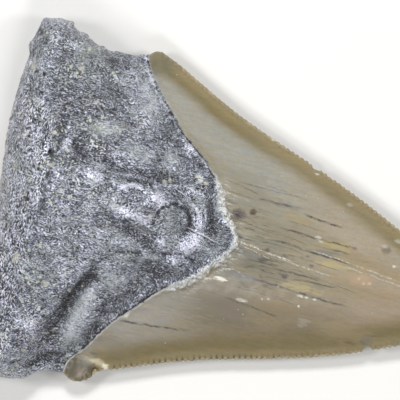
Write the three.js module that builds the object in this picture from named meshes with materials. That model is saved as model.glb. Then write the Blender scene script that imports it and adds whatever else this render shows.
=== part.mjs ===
import * as THREE from 'three';

// A fossil megalodon tooth, lying on its flatter outer face with the bulging inner face up.
// Sizes are in millimetres. X runs from the root's base to the tip, Y across the tooth, Z up.
// Outlines are drawn about the middle of the crown's base. The finished tooth is moved so that
// the frame's origin is under the middle of its bounding box.

// Outlines, as points that a smooth curve runs through.
const ROOT_BASE = [
  [-15.6, 23.2], [-16.2, 19.6], [-16.5, 13.7], [-16.8, 9.2], [-16.4, 5.6], [-15.9, 0.2],
  [-15.7, -4.5], [-16.3, -11], [-16.6, -17], [-16.2, -20.2], [-15.1, -22.7],
];
const ROOT_UPPER_SIDE = [
  [-15.6, 23.2], [-15.1, 24], [-13.9, 24.4], [-12.3, 24.5], [-11.5, 24.2], [-10.9, 23.6], [-9.1, 23.1],
  [-7.9, 22.4], [-6.6, 22], [-5.5, 21.7], [-4.4, 22], [-2.2, 22.1], [-0.7, 22.4],
];
const ROOT_LOWER_SIDE = [
  [-15.1, -22.7], [-13.6, -24.2], [-11.8, -24.8], [-9.9, -24.7], [-7.2, -24.3], [-6.1, -23.7],
  [-5.2, -22.9], [-4.3, -22.5], [-3.1, -22.5], [-1.95, -22.1],
];
const UPPER_EDGE = [
  [-0.4, 22.4], [0.3, 23], [1.1, 23.15], [2, 22.8], [3.9, 22], [7, 20.4], [13.3, 17.3], [19.5, 14.9],
  [26.8, 12.2], [33, 9.6], [37.3, 7.6], [45.5, 3.8], [49.5, 2], [52.4, 0.6], [54, -0.3],
];
const LOWER_EDGE = [
  [-1.65, -22.1], [-1.2, -22.5], [-0.3, -22.85], [0.7, -22.75], [1.7, -22.2], [2.5, -21.4], [3.4, -20.65],
  [5.1, -20], [8, -18.9], [12, -17.4], [17.1, -15.8], [25, -13.8], [32.8, -11.5], [36.8, -10], [41.5, -8],
  [45.5, -6.2], [49.5, -4.3], [52.6, -2.8], [54, -2.1],
];
const TIP = [[54, -0.3], [54.7, -0.8], [54.75, -1.6], [54, -2.1]];
const ENAMEL_LINE_ABOVE = [
  [-0.55, 22.4], [0.3, 20.8], [1.5, 18.7], [3.3, 15.9], [5.5, 13.4], [7.3, 12], [9.3, 10.8], [11.4, 9.3],
  [12.7, 7.9], [13.6, 5.6], [15, 3.6], [16.3, 2.1], [16.9, 0.9], [16.5, -0.9], [15.3, -2.6], [12, -5.9],
  [10.6, -6.9], [8.3, -7.7], [6.8, -8.8], [5.9, -10.5], [3, -13.5], [1.5, -15.6], [0.6, -17.6],
  [-0.8, -19.3], [-1.6, -20.6], [-1.8, -22.1],
];
const ENAMEL_LINE_BELOW = [
  [-0.55, 22.4], [0.9, 19.4], [3.4, 14.2], [5.4, 8.6], [6.3, 2], [5.9, -5], [4.2, -11.4], [1.4, -17.4],
  [-0.6, -20.6], [-1.8, -22.1],
];

// Cutting edges: the serrations are a zigzag of the edge, with a smooth line just inside it.
const SERRATIONS = 78;
const STEPS_PER_SERRATION = 2;
const SERRATION_DEPTH = 0.2;
const EDGE_MARGIN = 0.45;
const CHIP_SLOPE = 0.5;
const TIP_STEPS = 4;
const CORNER_LENGTH = 2;
const HEEL_END_X = 3.6;
// The points of each cutting edge that lie past its shoulder, where X only grows.
const UPPER_EDGE_PAST_SHOULDER = UPPER_EDGE.slice(2);
const LOWER_EDGE_PAST_HEEL = LOWER_EDGE.slice(6);
const EDGE_HEIGHT = 2.4;
const EDGE_SAG = 0.5;
const TIP_LIFT = 0.7;
const TIP_LIFT_POWER = 4;
// Chips in the cutting edges: the place along X, the half width and the depth.
const UPPER_CHIPS = [[25, 0.8, 0.4], [27.3, 0.4, 0.15], [29.6, 0.4, 0.15]];
const LOWER_CHIPS = [[3.5, 0.5, 0.15], [20, 0.4, 0.15], [26.3, 0.5, 0.2], [37.6, 0.75, 0.75]];

// Mesh spacing of the upper face and of the plainer face below.
const ABOVE = { rootStations: 30, rootRows: 48, crownStations: 52, rowWidth: 1.1, rowHold: 8 };
const BELOW = { rootStations: 15, rootRows: 24, crownStations: 26, rowWidth: 1.9, rowHold: 4 };
const ROOT_MARGIN = 0.5;
const CROWN_MARGIN = 2.1;
const SIDE_DECAY = 3;
const MARGIN_LIMIT = 0.25;
const FEWEST_ROWS = 2;
const CORNER_ROWS = 2;
const SAME_LENGTH = 1e-6;
const CURVE_DIVISIONS = 600;
const OUTLINE_SAMPLES = 90;

// Crown: how far its inner face rises over the cutting edges.
const TOOTH_TIP_X = 54.8;
const CROWN_RISE = 10.2;
const CROWN_LENGTH = 56;
const CROWN_TAPER = 1.5;
const HEEL_SWELL = { at: [0.4, -20.9], size: [2.3, 1.7], turn: 0, rise: 0.9 };

// Root: a thick middle with thinner lobes, a rounded rim and a ledge over the enamel.
const LEDGE_HALF_WIDTH = 0.15;
const LEDGE_RISE = 0.5;
const ROOT_LOBE_HEIGHT = 8.7;
const ROOT_MIDDLE = { at: [-2, 0.5], size: [16, 12], turn: 0, rise: 7 };
const ROOT_BLEND = 9;
const RIM_HEIGHT_SHARE = 0.42;
const RIM_WIDTH = 4.2;
const BASE_FACET_WIDTH = 2.6;
const BASE_FACET_SPREAD = 9;
const RIM_WIDTH_BELOW = 3;

// Outer face, which lies on the table: the lobes and the middle of the crown touch it.
const OUTER_ROUNDNESS = 3;
const CONTACT_DEPTH = 0.18;
const ROOT_HOLLOW = { at: [-9, 0], size: [9, 10], turn: 0, rise: 1.5 };
const ROOT_STEP_BELOW = 0.35;
const STEP_SPREAD = 5;
const TIP_CURL_START = 36;
const TIP_CURL = 2.2;

// Lumps and folds of the root's inner face, as soft mounds and troughs: the place, the half
// length and half width, the turn in degrees from X, and the rise, which is negative in a trough.
const ROOT_RELIEF = [
  { at: [-3.1, -13.4], size: [5.2, 1.15], turn: 69, rise: -1.9 }, // deep fold beside the heel
  { at: [-0.4, -13.6], size: [4.6, 1.7], turn: 77, rise: 1.1 }, // raised lip of that fold
  { at: [-5.5, -21.1], size: [1.9, 0.7], turn: 42, rise: -1 }, // slot in the lower lobe
  { at: [-4.6, -18.9], size: [1.8, 0.8], turn: 30, rise: 0.5 },
  { at: [10.5, -1.6], size: [1.7, 1], turn: 50, rise: 0.9 }, // glossy boss under the ring
  { at: [5.4, 3.9], size: [1.7, 1.2], turn: 10, rise: 0.7 },
  { at: [1.5, 1.4], size: [3.2, 0.9], turn: -14, rise: 0.7 },
  { at: [2, -1.3], size: [3.6, 1], turn: -14, rise: -0.8 },
  { at: [11.6, 3], size: [2.4, 0.7], turn: 103, rise: 0.6 },
  { at: [12.9, 3.6], size: [3.2, 0.7], turn: 103, rise: -0.6 },
  { at: [-2.4, 7.2], size: [3.6, 1.1], turn: -16, rise: -0.7 },
  { at: [5.2, 6], size: [3.6, 0.9], turn: 5, rise: -0.7 },
  { at: [-4.2, 4.9], size: [1.8, 1.3], turn: 0, rise: 0.6 },
  { at: [-4, 11.2], size: [2.8, 1.4], turn: 5, rise: 0.6 },
  { at: [-0.9, 17.6], size: [1.6, 2.6], turn: 0, rise: 0.5 },
  { at: [2.2, 12], size: [2.2, 1.6], turn: -50, rise: 0.4 },
  { at: [6.6, 8.6], size: [2.6, 1.1], turn: -40, rise: 0.5 },
  { at: [4.2, -9.6], size: [1.5, 0.7], turn: 55, rise: -0.6 },
  { at: [2.2, -8.2], size: [1.7, 1.4], turn: 0, rise: 0.5 },
  { at: [8, -5.2], size: [3.2, 0.8], turn: 12, rise: -0.5 },
  { at: [-4.8, 20.4], size: [0.9, 0.6], turn: 0, rise: -0.6 },
  { at: [-9.6, -4.6], size: [1.4, 4.4], turn: 25, rise: -0.5 },
  { at: [-9.4, 3.4], size: [1.3, 9], turn: -8, rise: 0.4 },
];
const RING = { at: [7.7, 1.4], radius: 2.6, halfWidth: 0.6, groove: 0.7, dome: 0.5, flatness: 4 };
// Gentle unevenness: waves that cross the root in directions a golden angle apart.
const LUMP_HEIGHT = 0.06;
const LUMP_WAVES = 6;
const LUMP_TURN = 2.4;
const LUMP_FREQUENCY = 0.6;
const LUMP_FREQUENCY_STEP = 0.27;
// Small round holes in the root: the place, the radius and the depth.
const ROOT_PITS = [
  { at: [-10.1, 6.6], radius: 0.38, depth: 1.2 },
  { at: [-13.4, 16.4], radius: 0.3, depth: 0.6 },
];
const PIT_SIDES = 6;
const PIT_CLEARANCE = 0.45;

const TOOTH_COLOUR = 0x837a6c;
const TOOTH_ROUGHNESS = 0.45;

const smooth = (value) => THREE.MathUtils.smoothstep(value, 0, 1);
const mix = THREE.MathUtils.lerp;

function curveThrough(points) {
  const corners = points.map(([x, y]) => new THREE.Vector3(x, y, 0));
  const curve = new THREE.CatmullRomCurve3(corners, false, 'centripetal');
  curve.arcLengthDivisions = CURVE_DIVISIONS;
  return curve;
}

const rootBase = curveThrough(ROOT_BASE);
const rootUpperSide = curveThrough(ROOT_UPPER_SIDE);
const rootLowerSide = curveThrough(ROOT_LOWER_SIDE);
const upperEdge = curveThrough(UPPER_EDGE);
const lowerEdge = curveThrough(LOWER_EDGE);
const tipCurve = curveThrough(TIP);
const enamelAbove = curveThrough(ENAMEL_LINE_ABOVE);
const enamelBelow = curveThrough(ENAMEL_LINE_BELOW);

const sampled = (curve) => curve.getSpacedPoints(OUTLINE_SAMPLES);
const rootOutline = [rootUpperSide, rootBase, rootLowerSide].map(sampled);
const enamelPoints = new Map([enamelAbove, enamelBelow].map((curve) => [curve, sampled(curve)]));

// Shortest distance from a place to a run of points.
function distanceTo(line, x, y) {
  const place = new THREE.Vector3(x, y, 0);
  const segment = new THREE.Line3();
  const nearest = new THREE.Vector3();
  let least = Infinity;
  for (let i = 1; i < line.length; i += 1) {
    segment.set(line[i - 1], line[i]).closestPointToPoint(place, true, nearest);
    least = Math.min(least, nearest.distanceTo(place));
  }
  return least;
}

// The Y of an outline at a given X, straight between its points.
function yAt(points, x) {
  const next = points.findIndex((point) => point[0] > x);
  if (next === 0) return points[0][1];
  if (next < 0) return points.at(-1)[1];
  const [before, after] = [points[next - 1], points[next]];
  return mix(before[1], after[1], (x - before[0]) / (after[0] - before[0]));
}

// Where a place lies across the crown: 0 in the middle and 1 at either cutting edge.
function acrossCrown(x, y) {
  const upper = yAt(UPPER_EDGE_PAST_SHOULDER, x);
  const lower = yAt(LOWER_EDGE_PAST_HEEL, x);
  const share = (y - (upper + lower) / 2) / ((upper - lower) / 2);
  return Math.min(1, Math.abs(share));
}

function swell({ at, size, turn, rise }, x, y) {
  const angle = THREE.MathUtils.degToRad(turn);
  const [dx, dy] = [x - at[0], y - at[1]];
  const along = (dx * Math.cos(angle) + dy * Math.sin(angle)) / size[0];
  const across = (dy * Math.cos(angle) - dx * Math.sin(angle)) / size[1];
  return rise * Math.exp(-along * along - across * across);
}

// Height of the cutting edges, which sag a little and lift again at the tip.
function edgeHeight(x) {
  const along = THREE.MathUtils.clamp(x / TOOTH_TIP_X, 0, 1);
  return EDGE_HEIGHT - EDGE_SAG * Math.sin(Math.PI * along) + TIP_LIFT * along ** TIP_LIFT_POWER;
}

function crownAbove(x, y) {
  const along = THREE.MathUtils.clamp(x / CROWN_LENGTH, 0, 1);
  const rise = CROWN_RISE * (1 - along ** CROWN_TAPER);
  const section = Math.cos((Math.PI / 2) * acrossCrown(x, y));
  return edgeHeight(x) + rise * section + swell(HEEL_SWELL, x, y);
}

function crownBelow(x, y) {
  const curl = TIP_CURL * smooth((x - TIP_CURL_START) / (TOOTH_TIP_X - TIP_CURL_START));
  const section = acrossCrown(x, y) ** OUTER_ROUNDNESS;
  return Math.max(0, mix(curl, edgeHeight(x), section) - CONTACT_DEPTH);
}

const rootBody = (x, y) => ROOT_LOBE_HEIGHT + swell(ROOT_MIDDLE, x, y);

// Height of the root's widest line, which runs into the cutting edges at the crown.
function rimHeight(x, y, rootward) {
  return mix(edgeHeight(x), rootBody(x, y) * RIM_HEIGHT_SHARE, smooth(rootward / ROOT_BLEND));
}

// Share of the full height at a distance in from the rim: a quarter of a round.
function rimShare(inward, width) {
  const left = 1 - Math.min(1, inward / width);
  return Math.sqrt(1 - left * left);
}

function ringRelief(x, y) {
  const radius = Math.hypot(x - RING.at[0], y - RING.at[1]);
  const fromGroove = (radius - RING.radius) / RING.halfWidth;
  const upperSide = smooth((y - RING.at[1] + RING.radius) / RING.radius);
  const groove = RING.groove * upperSide * Math.exp(-fromGroove * fromGroove);
  return RING.dome * Math.exp(-((radius / RING.radius) ** RING.flatness)) - groove;
}

function lumps(x, y) {
  let sum = 0;
  for (let i = 0; i < LUMP_WAVES; i += 1) {
    const along = x * Math.cos(i * LUMP_TURN) + y * Math.sin(i * LUMP_TURN);
    sum += Math.sin((LUMP_FREQUENCY + LUMP_FREQUENCY_STEP * i) * along + i * i);
  }
  return LUMP_HEIGHT * sum;
}

function rootAbove(x, y, rootward) {
  const inward = Math.min(...rootOutline.map((line) => distanceTo(line, x, y)));
  const facet = BASE_FACET_WIDTH * Math.exp(-((y / BASE_FACET_SPREAD) ** 2)) * smooth(-x / RIM_WIDTH);
  const share = rimShare(inward, RIM_WIDTH + facet);
  const relief = ROOT_RELIEF.reduce((sum, feature) => sum + swell(feature, x, y), 0);
  const body = mix(crownAbove(x, y), rootBody(x, y), smooth(rootward / ROOT_BLEND));
  const top = body + LEDGE_RISE + (relief + ringRelief(x, y) + lumps(x, y)) * smooth(rootward);
  const rim = rimHeight(x, y, rootward);
  return rim + (top - rim) * share;
}

function rootBelow(x, y, rootward) {
  const inward = Math.min(...rootOutline.map((line) => distanceTo(line, x, y)));
  const step = ROOT_STEP_BELOW * (1 - smooth(rootward / STEP_SPREAD));
  const body = mix(crownBelow(x, y), swell(ROOT_HOLLOW, x, y), smooth(rootward / ROOT_BLEND));
  const low = Math.max(0, body + step + lumps(x, y) - CONTACT_DEPTH * smooth(rootward));
  const rim = rimHeight(x, y, rootward);
  return rim + (low - rim) * rimShare(inward, RIM_WIDTH_BELOW);
}

const FACE_ABOVE = {
  spacing: ABOVE, enamel: enamelAbove, rootHeight: rootAbove, crownHeight: crownAbove, below: false,
};
const FACE_BELOW = {
  spacing: BELOW, enamel: enamelBelow, rootHeight: rootBelow, crownHeight: crownBelow, below: true,
};

// The tooth's one closed mesh. A chain is a row of its points.
const positions = [];
const triangles = [];

function addPoint(x, y, z) {
  positions.push(x, y, z);
  return { index: positions.length / 3 - 1, x, y };
}

// Length of the diagonal between two chains' points, or past everything beyond a chain's end.
function diagonal(first, i, second, j) {
  if (i === first.length || j === second.length) return Infinity;
  return Math.hypot(first[i].x - second[j].x, first[i].y - second[j].y);
}

// Fills the strip between two chains, always over the shorter diagonal. The second chain lies on
// the left of the first, as seen from above.
function stitch(first, second, below = false) {
  let [i, j] = [0, 0];
  while (i < first.length - 1 || j < second.length - 1) {
    const overFirst = diagonal(first, i + 1, second, j);
    const overSecond = diagonal(first, i, second, j + 1);
    const takeFirst = overFirst <= overSecond + SAME_LENGTH;
    const corner = takeFirst ? first[i + 1] : second[j + 1];
    const face = [first[i].index, corner.index, second[j].index];
    triangles.push(...(below ? face.reverse() : face));
    if (takeFirst) i += 1;
    else j += 1;
  }
}

// A place inside a four-sided patch: between its left and right sides, bent near the other two
// as far as they stray from straight.
function placeInPatch({ left, right, upper, lower }, u, v) {
  const [west, east, north, south] = [left(v), right(v), upper(u), lower(u)];
  const coordinate = (axis) => {
    const upperStray = north[axis] - mix(upper(0)[axis], upper(1)[axis], u);
    const lowerStray = south[axis] - mix(lower(0)[axis], lower(1)[axis], u);
    const bend = upperStray * (1 - v) ** SIDE_DECAY + lowerStray * v ** SIDE_DECAY;
    return mix(west[axis], east[axis], u) + bend;
  };
  return [coordinate('x'), coordinate('y')];
}

// Even shares of the way between a margin at each end.
function evenShares(count, startMargin, endMargin = startMargin) {
  return Array.from({ length: count + 1 }, (_, i) => mix(startMargin, 1 - endMargin, i / count));
}

// Fills a patch: its inner stations are joined to each other and then to its four sides.
function fillPatch({ stations, left, right, upper, lower, below }) {
  for (let k = 1; k < stations.length; k += 1) stitch(stations[k - 1], stations[k], below);
  stitch(left, stations[0], below);
  stitch(stations.at(-1), right, below);
  stitch(stations.map((row) => row[0]), upper, below);
  stitch(lower, stations.map((row) => row.at(-1)), below);
}

function stationRow(patch, u, shares, height) {
  return shares.map((v) => {
    const [x, y] = placeInPatch(patch, u, v);
    return addPoint(x, y, height(x, y));
  });
}

// How deep the chips are at a place along an edge.
function chipDepth(chips, x) {
  return chips.reduce((deepest, [at, halfWidth, depth]) => {
    const away = Math.abs(x - at) / halfWidth;
    return Math.max(deepest, depth * (1 - smooth(away)));
  }, 0);
}

// Points along a cutting edge, or along the smooth line just inside it where a margin is given.
function edgeChain(curve, side, chips, startX, margin = 0, height = edgeHeight) {
  const steps = SERRATIONS * STEPS_PER_SERRATION;
  const chain = [];
  for (let i = 0; i <= steps; i += 1) {
    const share = i / steps;
    const point = curve.getPointAt(share);
    const tangent = curve.getTangentAt(share);
    const toothed = smooth((point.x - startX) / CORNER_LENGTH) * smooth((1 - share) * CROWN_LENGTH);
    const zigzag = (i % STEPS_PER_SERRATION ? SERRATION_DEPTH : -SERRATION_DEPTH) / 2;
    const chip = chipDepth(chips, point.x);
    const reach = side * (margin ? -margin - chip * CHIP_SLOPE : zigzag * toothed - chip);
    const [x, y] = [point.x - tangent.y * reach, point.y + tangent.x * reach];
    chain.push(addPoint(x, y, height(x, y)));
  }
  return chain;
}

function tipChain(start, end, margin = 0, height = edgeHeight) {
  const middle = Array.from({ length: TIP_STEPS - 1 }, (_, i) => {
    const share = (i + 1) / TIP_STEPS;
    const point = tipCurve.getPointAt(share);
    const tangent = tipCurve.getTangentAt(share);
    const [x, y] = [point.x + tangent.y * margin, point.y - tangent.x * margin];
    return addPoint(x, y, height(x, y));
  });
  return [start, ...middle, end];
}

// A point of the root's outline.
function rimPoint(curve, share) {
  const { x, y } = curve.getPointAt(share);
  return addPoint(x, y, rimHeight(x, y, distanceTo(enamelPoints.get(enamelAbove), x, y)));
}

// The line of the enamel, shifted to the foot or the top of the root's ledge.
const shifted = (curve, shift) => (share) => {
  const { x, y } = curve.getPointAt(share);
  return { x: x + shift, y };
};

function lineChain(place, shares, height, start, end) {
  const inner = shares.map((share) => {
    const { x, y } = place(share);
    return addPoint(x, y, height(x, y));
  });
  return [start, ...inner, end];
}

const at = (curve) => (share) => curve.getPointAt(share);

// Everything on the outline, shared by the face above and the face below.
function makeOutline() {
  const rim = (curve, shares, start, end) => {
    const inner = shares.map((share) => rimPoint(curve, share));
    return [start, ...inner, end];
  };
  const stations = evenShares(ABOVE.rootStations, ROOT_MARGIN / CROWN_LENGTH, 0).slice(0, -1);
  const rows = evenShares(ABOVE.rootRows, ROOT_MARGIN / rootBase.getLength());
  const [upperCorner, lowerCorner] = [rimPoint(rootBase, 0), rimPoint(rootBase, 1)];
  const upper = edgeChain(upperEdge, 1, UPPER_CHIPS, UPPER_EDGE[0][0]);
  const lower = edgeChain(lowerEdge, -1, LOWER_CHIPS, HEEL_END_X);
  return {
    base: rim(rootBase, rows, upperCorner, lowerCorner),
    upperSide: rim(rootUpperSide, stations, upperCorner, rimPoint(rootUpperSide, 1)),
    lowerSide: rim(rootLowerSide, stations, lowerCorner, rimPoint(rootLowerSide, 1)),
    upper,
    lower,
    tip: tipChain(upper.at(-1), lower.at(-1)),
  };
}

// The root of one face, up to its line with the enamel.
function makeRoot(outline, spacing, enamel, height, below) {
  const baseWidth = rootBase.getLength();
  const rows = evenShares(spacing.rootRows, ROOT_MARGIN / baseWidth);
  const ledgeTop = shifted(enamel, -LEDGE_HALF_WIDTH);
  const patch = {
    left: at(rootBase),
    right: ledgeTop,
    upper: at(rootUpperSide),
    lower: at(rootLowerSide),
  };
  const rootHeight = (x, y) => height(x, y, distanceTo(enamelPoints.get(enamel), x, y));
  const stations = evenShares(spacing.rootStations, ROOT_MARGIN / CROWN_LENGTH, 0).slice(0, -1);
  const [upperEnd, lowerEnd] = [outline.upperSide.at(-1), outline.lowerSide.at(-1)];
  const right = lineChain(ledgeTop, rows, rootHeight, upperEnd, lowerEnd);
  fillPatch({
    stations: stations.map((u) => stationRow(patch, u, rows, rootHeight)),
    left: outline.base,
    right,
    upper: outline.upperSide,
    lower: outline.lowerSide,
    below,
  });
  return right;
}

// How many rows a station across the crown takes: held for a few stations, then fewer.
function crownRows(spacing, width) {
  const rows = Math.round(width / spacing.rowWidth);
  const held = Math.ceil(rows / spacing.rowHold) * spacing.rowHold - spacing.rowHold / 2;
  return Math.max(FEWEST_ROWS, held);
}

// The crown of one face, from the enamel's line to the chains that bound it at the edges and tip.
function makeCrown({ upper, lower, tip, foot, spacing, enamel, height, below }) {
  const [tipStart, tipEnd] = [upperEdge.getPoint(1), lowerEdge.getPoint(1)];
  const patch = {
    left: shifted(enamel, LEDGE_HALF_WIDTH),
    right: (share) => tipStart.clone().lerp(tipEnd, share),
    upper: at(upperEdge),
    lower: at(lowerEdge),
  };
  const stations = [];
  for (let k = 1; k < spacing.crownStations; k += 1) {
    const u = k / spacing.crownStations;
    const width = patch.upper(u).distanceTo(patch.lower(u));
    const margin = Math.min(CROWN_MARGIN / width, MARGIN_LIMIT);
    const shares = evenShares(crownRows(spacing, width), margin);
    stations.push(stationRow(patch, u, shares, height));
  }
  fillPatch({ stations, left: foot, right: tip, upper, lower, below });
}

// The foot of the ledge, between the two shoulders.
function footChain(enamel, spacing, height, start, end) {
  const shares = evenShares(spacing.rootRows - CORNER_ROWS, CROWN_MARGIN / enamel.getLength());
  return lineChain(shifted(enamel, LEDGE_HALF_WIDTH), shares, height, start, end);
}

// Takes the faces near a place out of the mesh and gives the loop of points round the gap, each
// with its direction from the place.
function clearRound(x, y, reach) {
  const isNear = (i) => Math.hypot(positions[i * 3] - x, positions[i * 3 + 1] - y) < reach;
  const edges = new Map();
  for (let f = triangles.length - 3; f >= 0; f -= 3) {
    const face = triangles.slice(f, f + 3);
    if (face.some(isNear)) {
      face.forEach((from, corner) => {
        const to = face[(corner + 1) % 3];
        edges.set(`${from} ${to}`, [from, to]);
      });
      triangles.splice(f, 3);
    }
  }
  const outer = [...edges.values()].filter(([from, to]) => !edges.has(`${to} ${from}`));
  const following = new Map(outer);
  const loop = [outer[0][0]];
  while (loop.length <= following.size) loop.push(following.get(loop.at(-1)));
  return loop.map((index) => {
    const away = new THREE.Vector2(positions[index * 3] - x, positions[index * 3 + 1] - y);
    const direction = away.normalize();
    return { index, x: direction.x, y: direction.y };
  });
}

// Opens a small cone-shaped hole in the upper face.
function openPit({ at: [x, y], radius, depth }) {
  const outer = clearRound(x, y, radius + PIT_CLEARANCE);
  const start = Math.atan2(outer[0].y, outer[0].x);
  const rootward = distanceTo(enamelPoints.get(enamelAbove), x, y);
  const rootHeight = (px, py) => rootAbove(px, py, rootward);
  const rim = Array.from({ length: PIT_SIDES }, (_, i) => {
    const angle = start + (i / PIT_SIDES) * 2 * Math.PI;
    const direction = { x: Math.cos(angle), y: Math.sin(angle) };
    const [px, py] = [x + radius * direction.x, y + radius * direction.y];
    return { ...addPoint(px, py, rootHeight(px, py)), ...direction };
  });
  rim.push(rim[0]);
  const floor = addPoint(x, y, rootHeight(x, y) - depth);
  stitch(outer, rim);
  for (let i = 0; i < PIT_SIDES; i += 1) triangles.push(rim[i].index, rim[i + 1].index, floor.index);
}

// One face of the tooth, upper or lower: root, ledge, crown and the strip along the cutting edges.
function makeFace(outline, { spacing, enamel, rootHeight, crownHeight, below }) {
  const ring = {
    upper: edgeChain(upperEdge, 1, UPPER_CHIPS, 0, EDGE_MARGIN, crownHeight),
    lower: edgeChain(lowerEdge, -1, LOWER_CHIPS, 0, EDGE_MARGIN, crownHeight),
  };
  ring.tip = tipChain(ring.upper.at(-1), ring.lower.at(-1), EDGE_MARGIN, crownHeight);
  const ledge = makeRoot(outline, spacing, enamel, rootHeight, below);
  const foot = footChain(enamel, spacing, crownHeight, ring.upper[0], ring.lower[0]);
  stitch(ledge, [outline.upper[0], ...foot, outline.lower[0]], below);
  makeCrown({ ...ring, foot, spacing, enamel, height: crownHeight, below });
  stitch(ring.upper, outline.upper, below);
  stitch(ring.tip, outline.tip, below);
  stitch(ring.lower.reverse(), outline.lower.toReversed(), below);
}

function makeTooth() {
  const outline = makeOutline();
  makeFace(outline, FACE_ABOVE);
  ROOT_PITS.forEach(openPit);
  makeFace(outline, FACE_BELOW);
  const geometry = new THREE.BufferGeometry();
  geometry.setAttribute('position', new THREE.Float32BufferAttribute(positions, 3));
  geometry.setIndex(triangles);
  geometry.computeBoundingBox();
  const { min, max } = geometry.boundingBox;
  geometry.translate(-(min.x + max.x) / 2, -(min.y + max.y) / 2, -min.z);
  geometry.computeVertexNormals();
  const material = new THREE.MeshStandardMaterial({
    color: TOOTH_COLOUR,
    roughness: TOOTH_ROUGHNESS,
    metalness: 0,
  });
  const tooth = new THREE.Mesh(geometry, material);
  tooth.name = 'tooth';
  return tooth;
}

const part = new THREE.Group();
part.add(makeTooth());

export default part;
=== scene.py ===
"""Looks of a fossil megalodon tooth, lying with its bulging inner face up.

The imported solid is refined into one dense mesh, its fine relief is moved into that mesh, and one
material dresses the root and the enamel. Places are millimetres in the plan of the tooth, measured
from the middle of the crown's base, with X towards the tip.
"""

import logging
import math
from collections.abc import Sequence
from dataclasses import dataclass
from enum import Enum

import bpy
import numpy as np
from mathutils import Color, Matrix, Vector, noise


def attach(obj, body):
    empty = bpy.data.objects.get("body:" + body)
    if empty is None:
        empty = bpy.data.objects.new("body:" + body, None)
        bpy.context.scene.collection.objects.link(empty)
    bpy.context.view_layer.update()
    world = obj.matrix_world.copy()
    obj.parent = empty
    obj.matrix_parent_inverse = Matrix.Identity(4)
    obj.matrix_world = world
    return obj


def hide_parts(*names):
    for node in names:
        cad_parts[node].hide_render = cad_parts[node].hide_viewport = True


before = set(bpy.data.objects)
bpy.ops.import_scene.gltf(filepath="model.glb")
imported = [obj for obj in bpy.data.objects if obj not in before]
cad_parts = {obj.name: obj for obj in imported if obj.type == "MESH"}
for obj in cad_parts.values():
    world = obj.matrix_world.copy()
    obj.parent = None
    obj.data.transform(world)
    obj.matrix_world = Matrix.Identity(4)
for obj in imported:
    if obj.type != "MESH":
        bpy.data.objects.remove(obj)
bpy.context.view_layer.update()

log = logging.getLogger("tooth")

MM = 0.001
CROWN_BASE = (-19.004, 0.152)  # the middle of the crown's base, in the frame, in millimetres
STREAK_TURN = 3.5  # how far the crown's streaks turn from the tooth's length, in degrees
CRACK_ENDS = (0.5, 0.3)  # how far from its middle a crack ends and is whole, as a share of its length
SPOT_RIM = (1.3, 0.4)  # how far from its middle a spot ends and is whole, as a share of its size
LEAST_STEP = 1e-6  # keeps a line's curve from dividing by nothing, in square roots of millimetres

Place = tuple[float, float]
Colour = tuple[float, float, float]
Socket = bpy.types.NodeSocket
Input = Socket | float | Colour
Limits = tuple[float, ...]  # where a share starts and ends, and what it then starts and ends as
Warp = tuple[float, float]  # how many waves in one unit shift a place, and how far they reach

UPPER_EDGE = (
    (-0.4, 22.4), (0.3, 23), (1.1, 23.15), (2, 22.8), (3.9, 22), (7, 20.4), (13.3, 17.3), (19.5, 14.9),
    (26.8, 12.2), (33, 9.6), (37.3, 7.6), (45.5, 3.8), (49.5, 2), (52.4, 0.6), (54, -0.3),
)
LOWER_EDGE = (
    (-1.65, -22.1), (-1.2, -22.5), (-0.3, -22.85), (0.7, -22.75), (1.7, -22.2), (2.5, -21.4), (3.4, -20.65),
    (5.1, -20), (8, -18.9), (12, -17.4), (17.1, -15.8), (25, -13.8), (32.8, -11.5), (36.8, -10), (41.5, -8),
    (45.5, -6.2), (49.5, -4.3), (52.6, -2.8), (54, -2.1),
)
ENAMEL_LINE_INNER = (
    (-0.55, 22.4), (0.2, 20.6), (1.4, 18.9), (3.0, 17.0), (4.8, 15.1), (6.3, 13.4), (8.5, 11.6), (10.5, 10.1),
    (11.5, 8.9), (12.5, 8.0), (13.2, 6.6), (14.0, 4.8), (14.8, 3.5), (16.2, 2.1), (16.9, 0.9), (16.5, -0.8),
    (15.2, -2.4), (12, -5.9), (10.6, -7.0), (8.9, -7.8), (7.6, -9.0), (6.0, -10.8), (4.8, -12.0),
    (3.1, -13.9), (1.6, -16.0), (0.7, -17.6), (-0.8, -19.3), (-1.6, -20.6), (-1.8, -22.1),
)
ENAMEL_LINE_OUTER = (
    (-0.55, 22.4), (0.9, 19.4), (3.4, 14.2), (5.4, 8.6), (6.3, 2), (5.9, -5), (4.2, -11.4), (1.4, -17.4),
    (-0.6, -20.6), (-1.8, -22.1),
)


def smooth(value: np.ndarray) -> np.ndarray:
    """Eases a share from 0 to 1, clipped at both ends."""
    share = np.clip(value, 0.0, 1.0)
    return share * share * (3.0 - 2.0 * share)


def tint(red: int, green: int, blue: int) -> Colour:
    """Gives the linear colour of a screen colour whose channels run from 0 to 255."""
    return tuple(Color((red / 255, green / 255, blue / 255)).from_srgb_to_scene_linear())


def select_only(piece: bpy.types.Object) -> None:
    """Makes one piece the only one selected, and the active one.

    Args:
        piece: The piece.
    """
    bpy.ops.object.select_all(action="DESELECT")
    bpy.context.view_layer.objects.active = piece
    piece.select_set(True)


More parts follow.
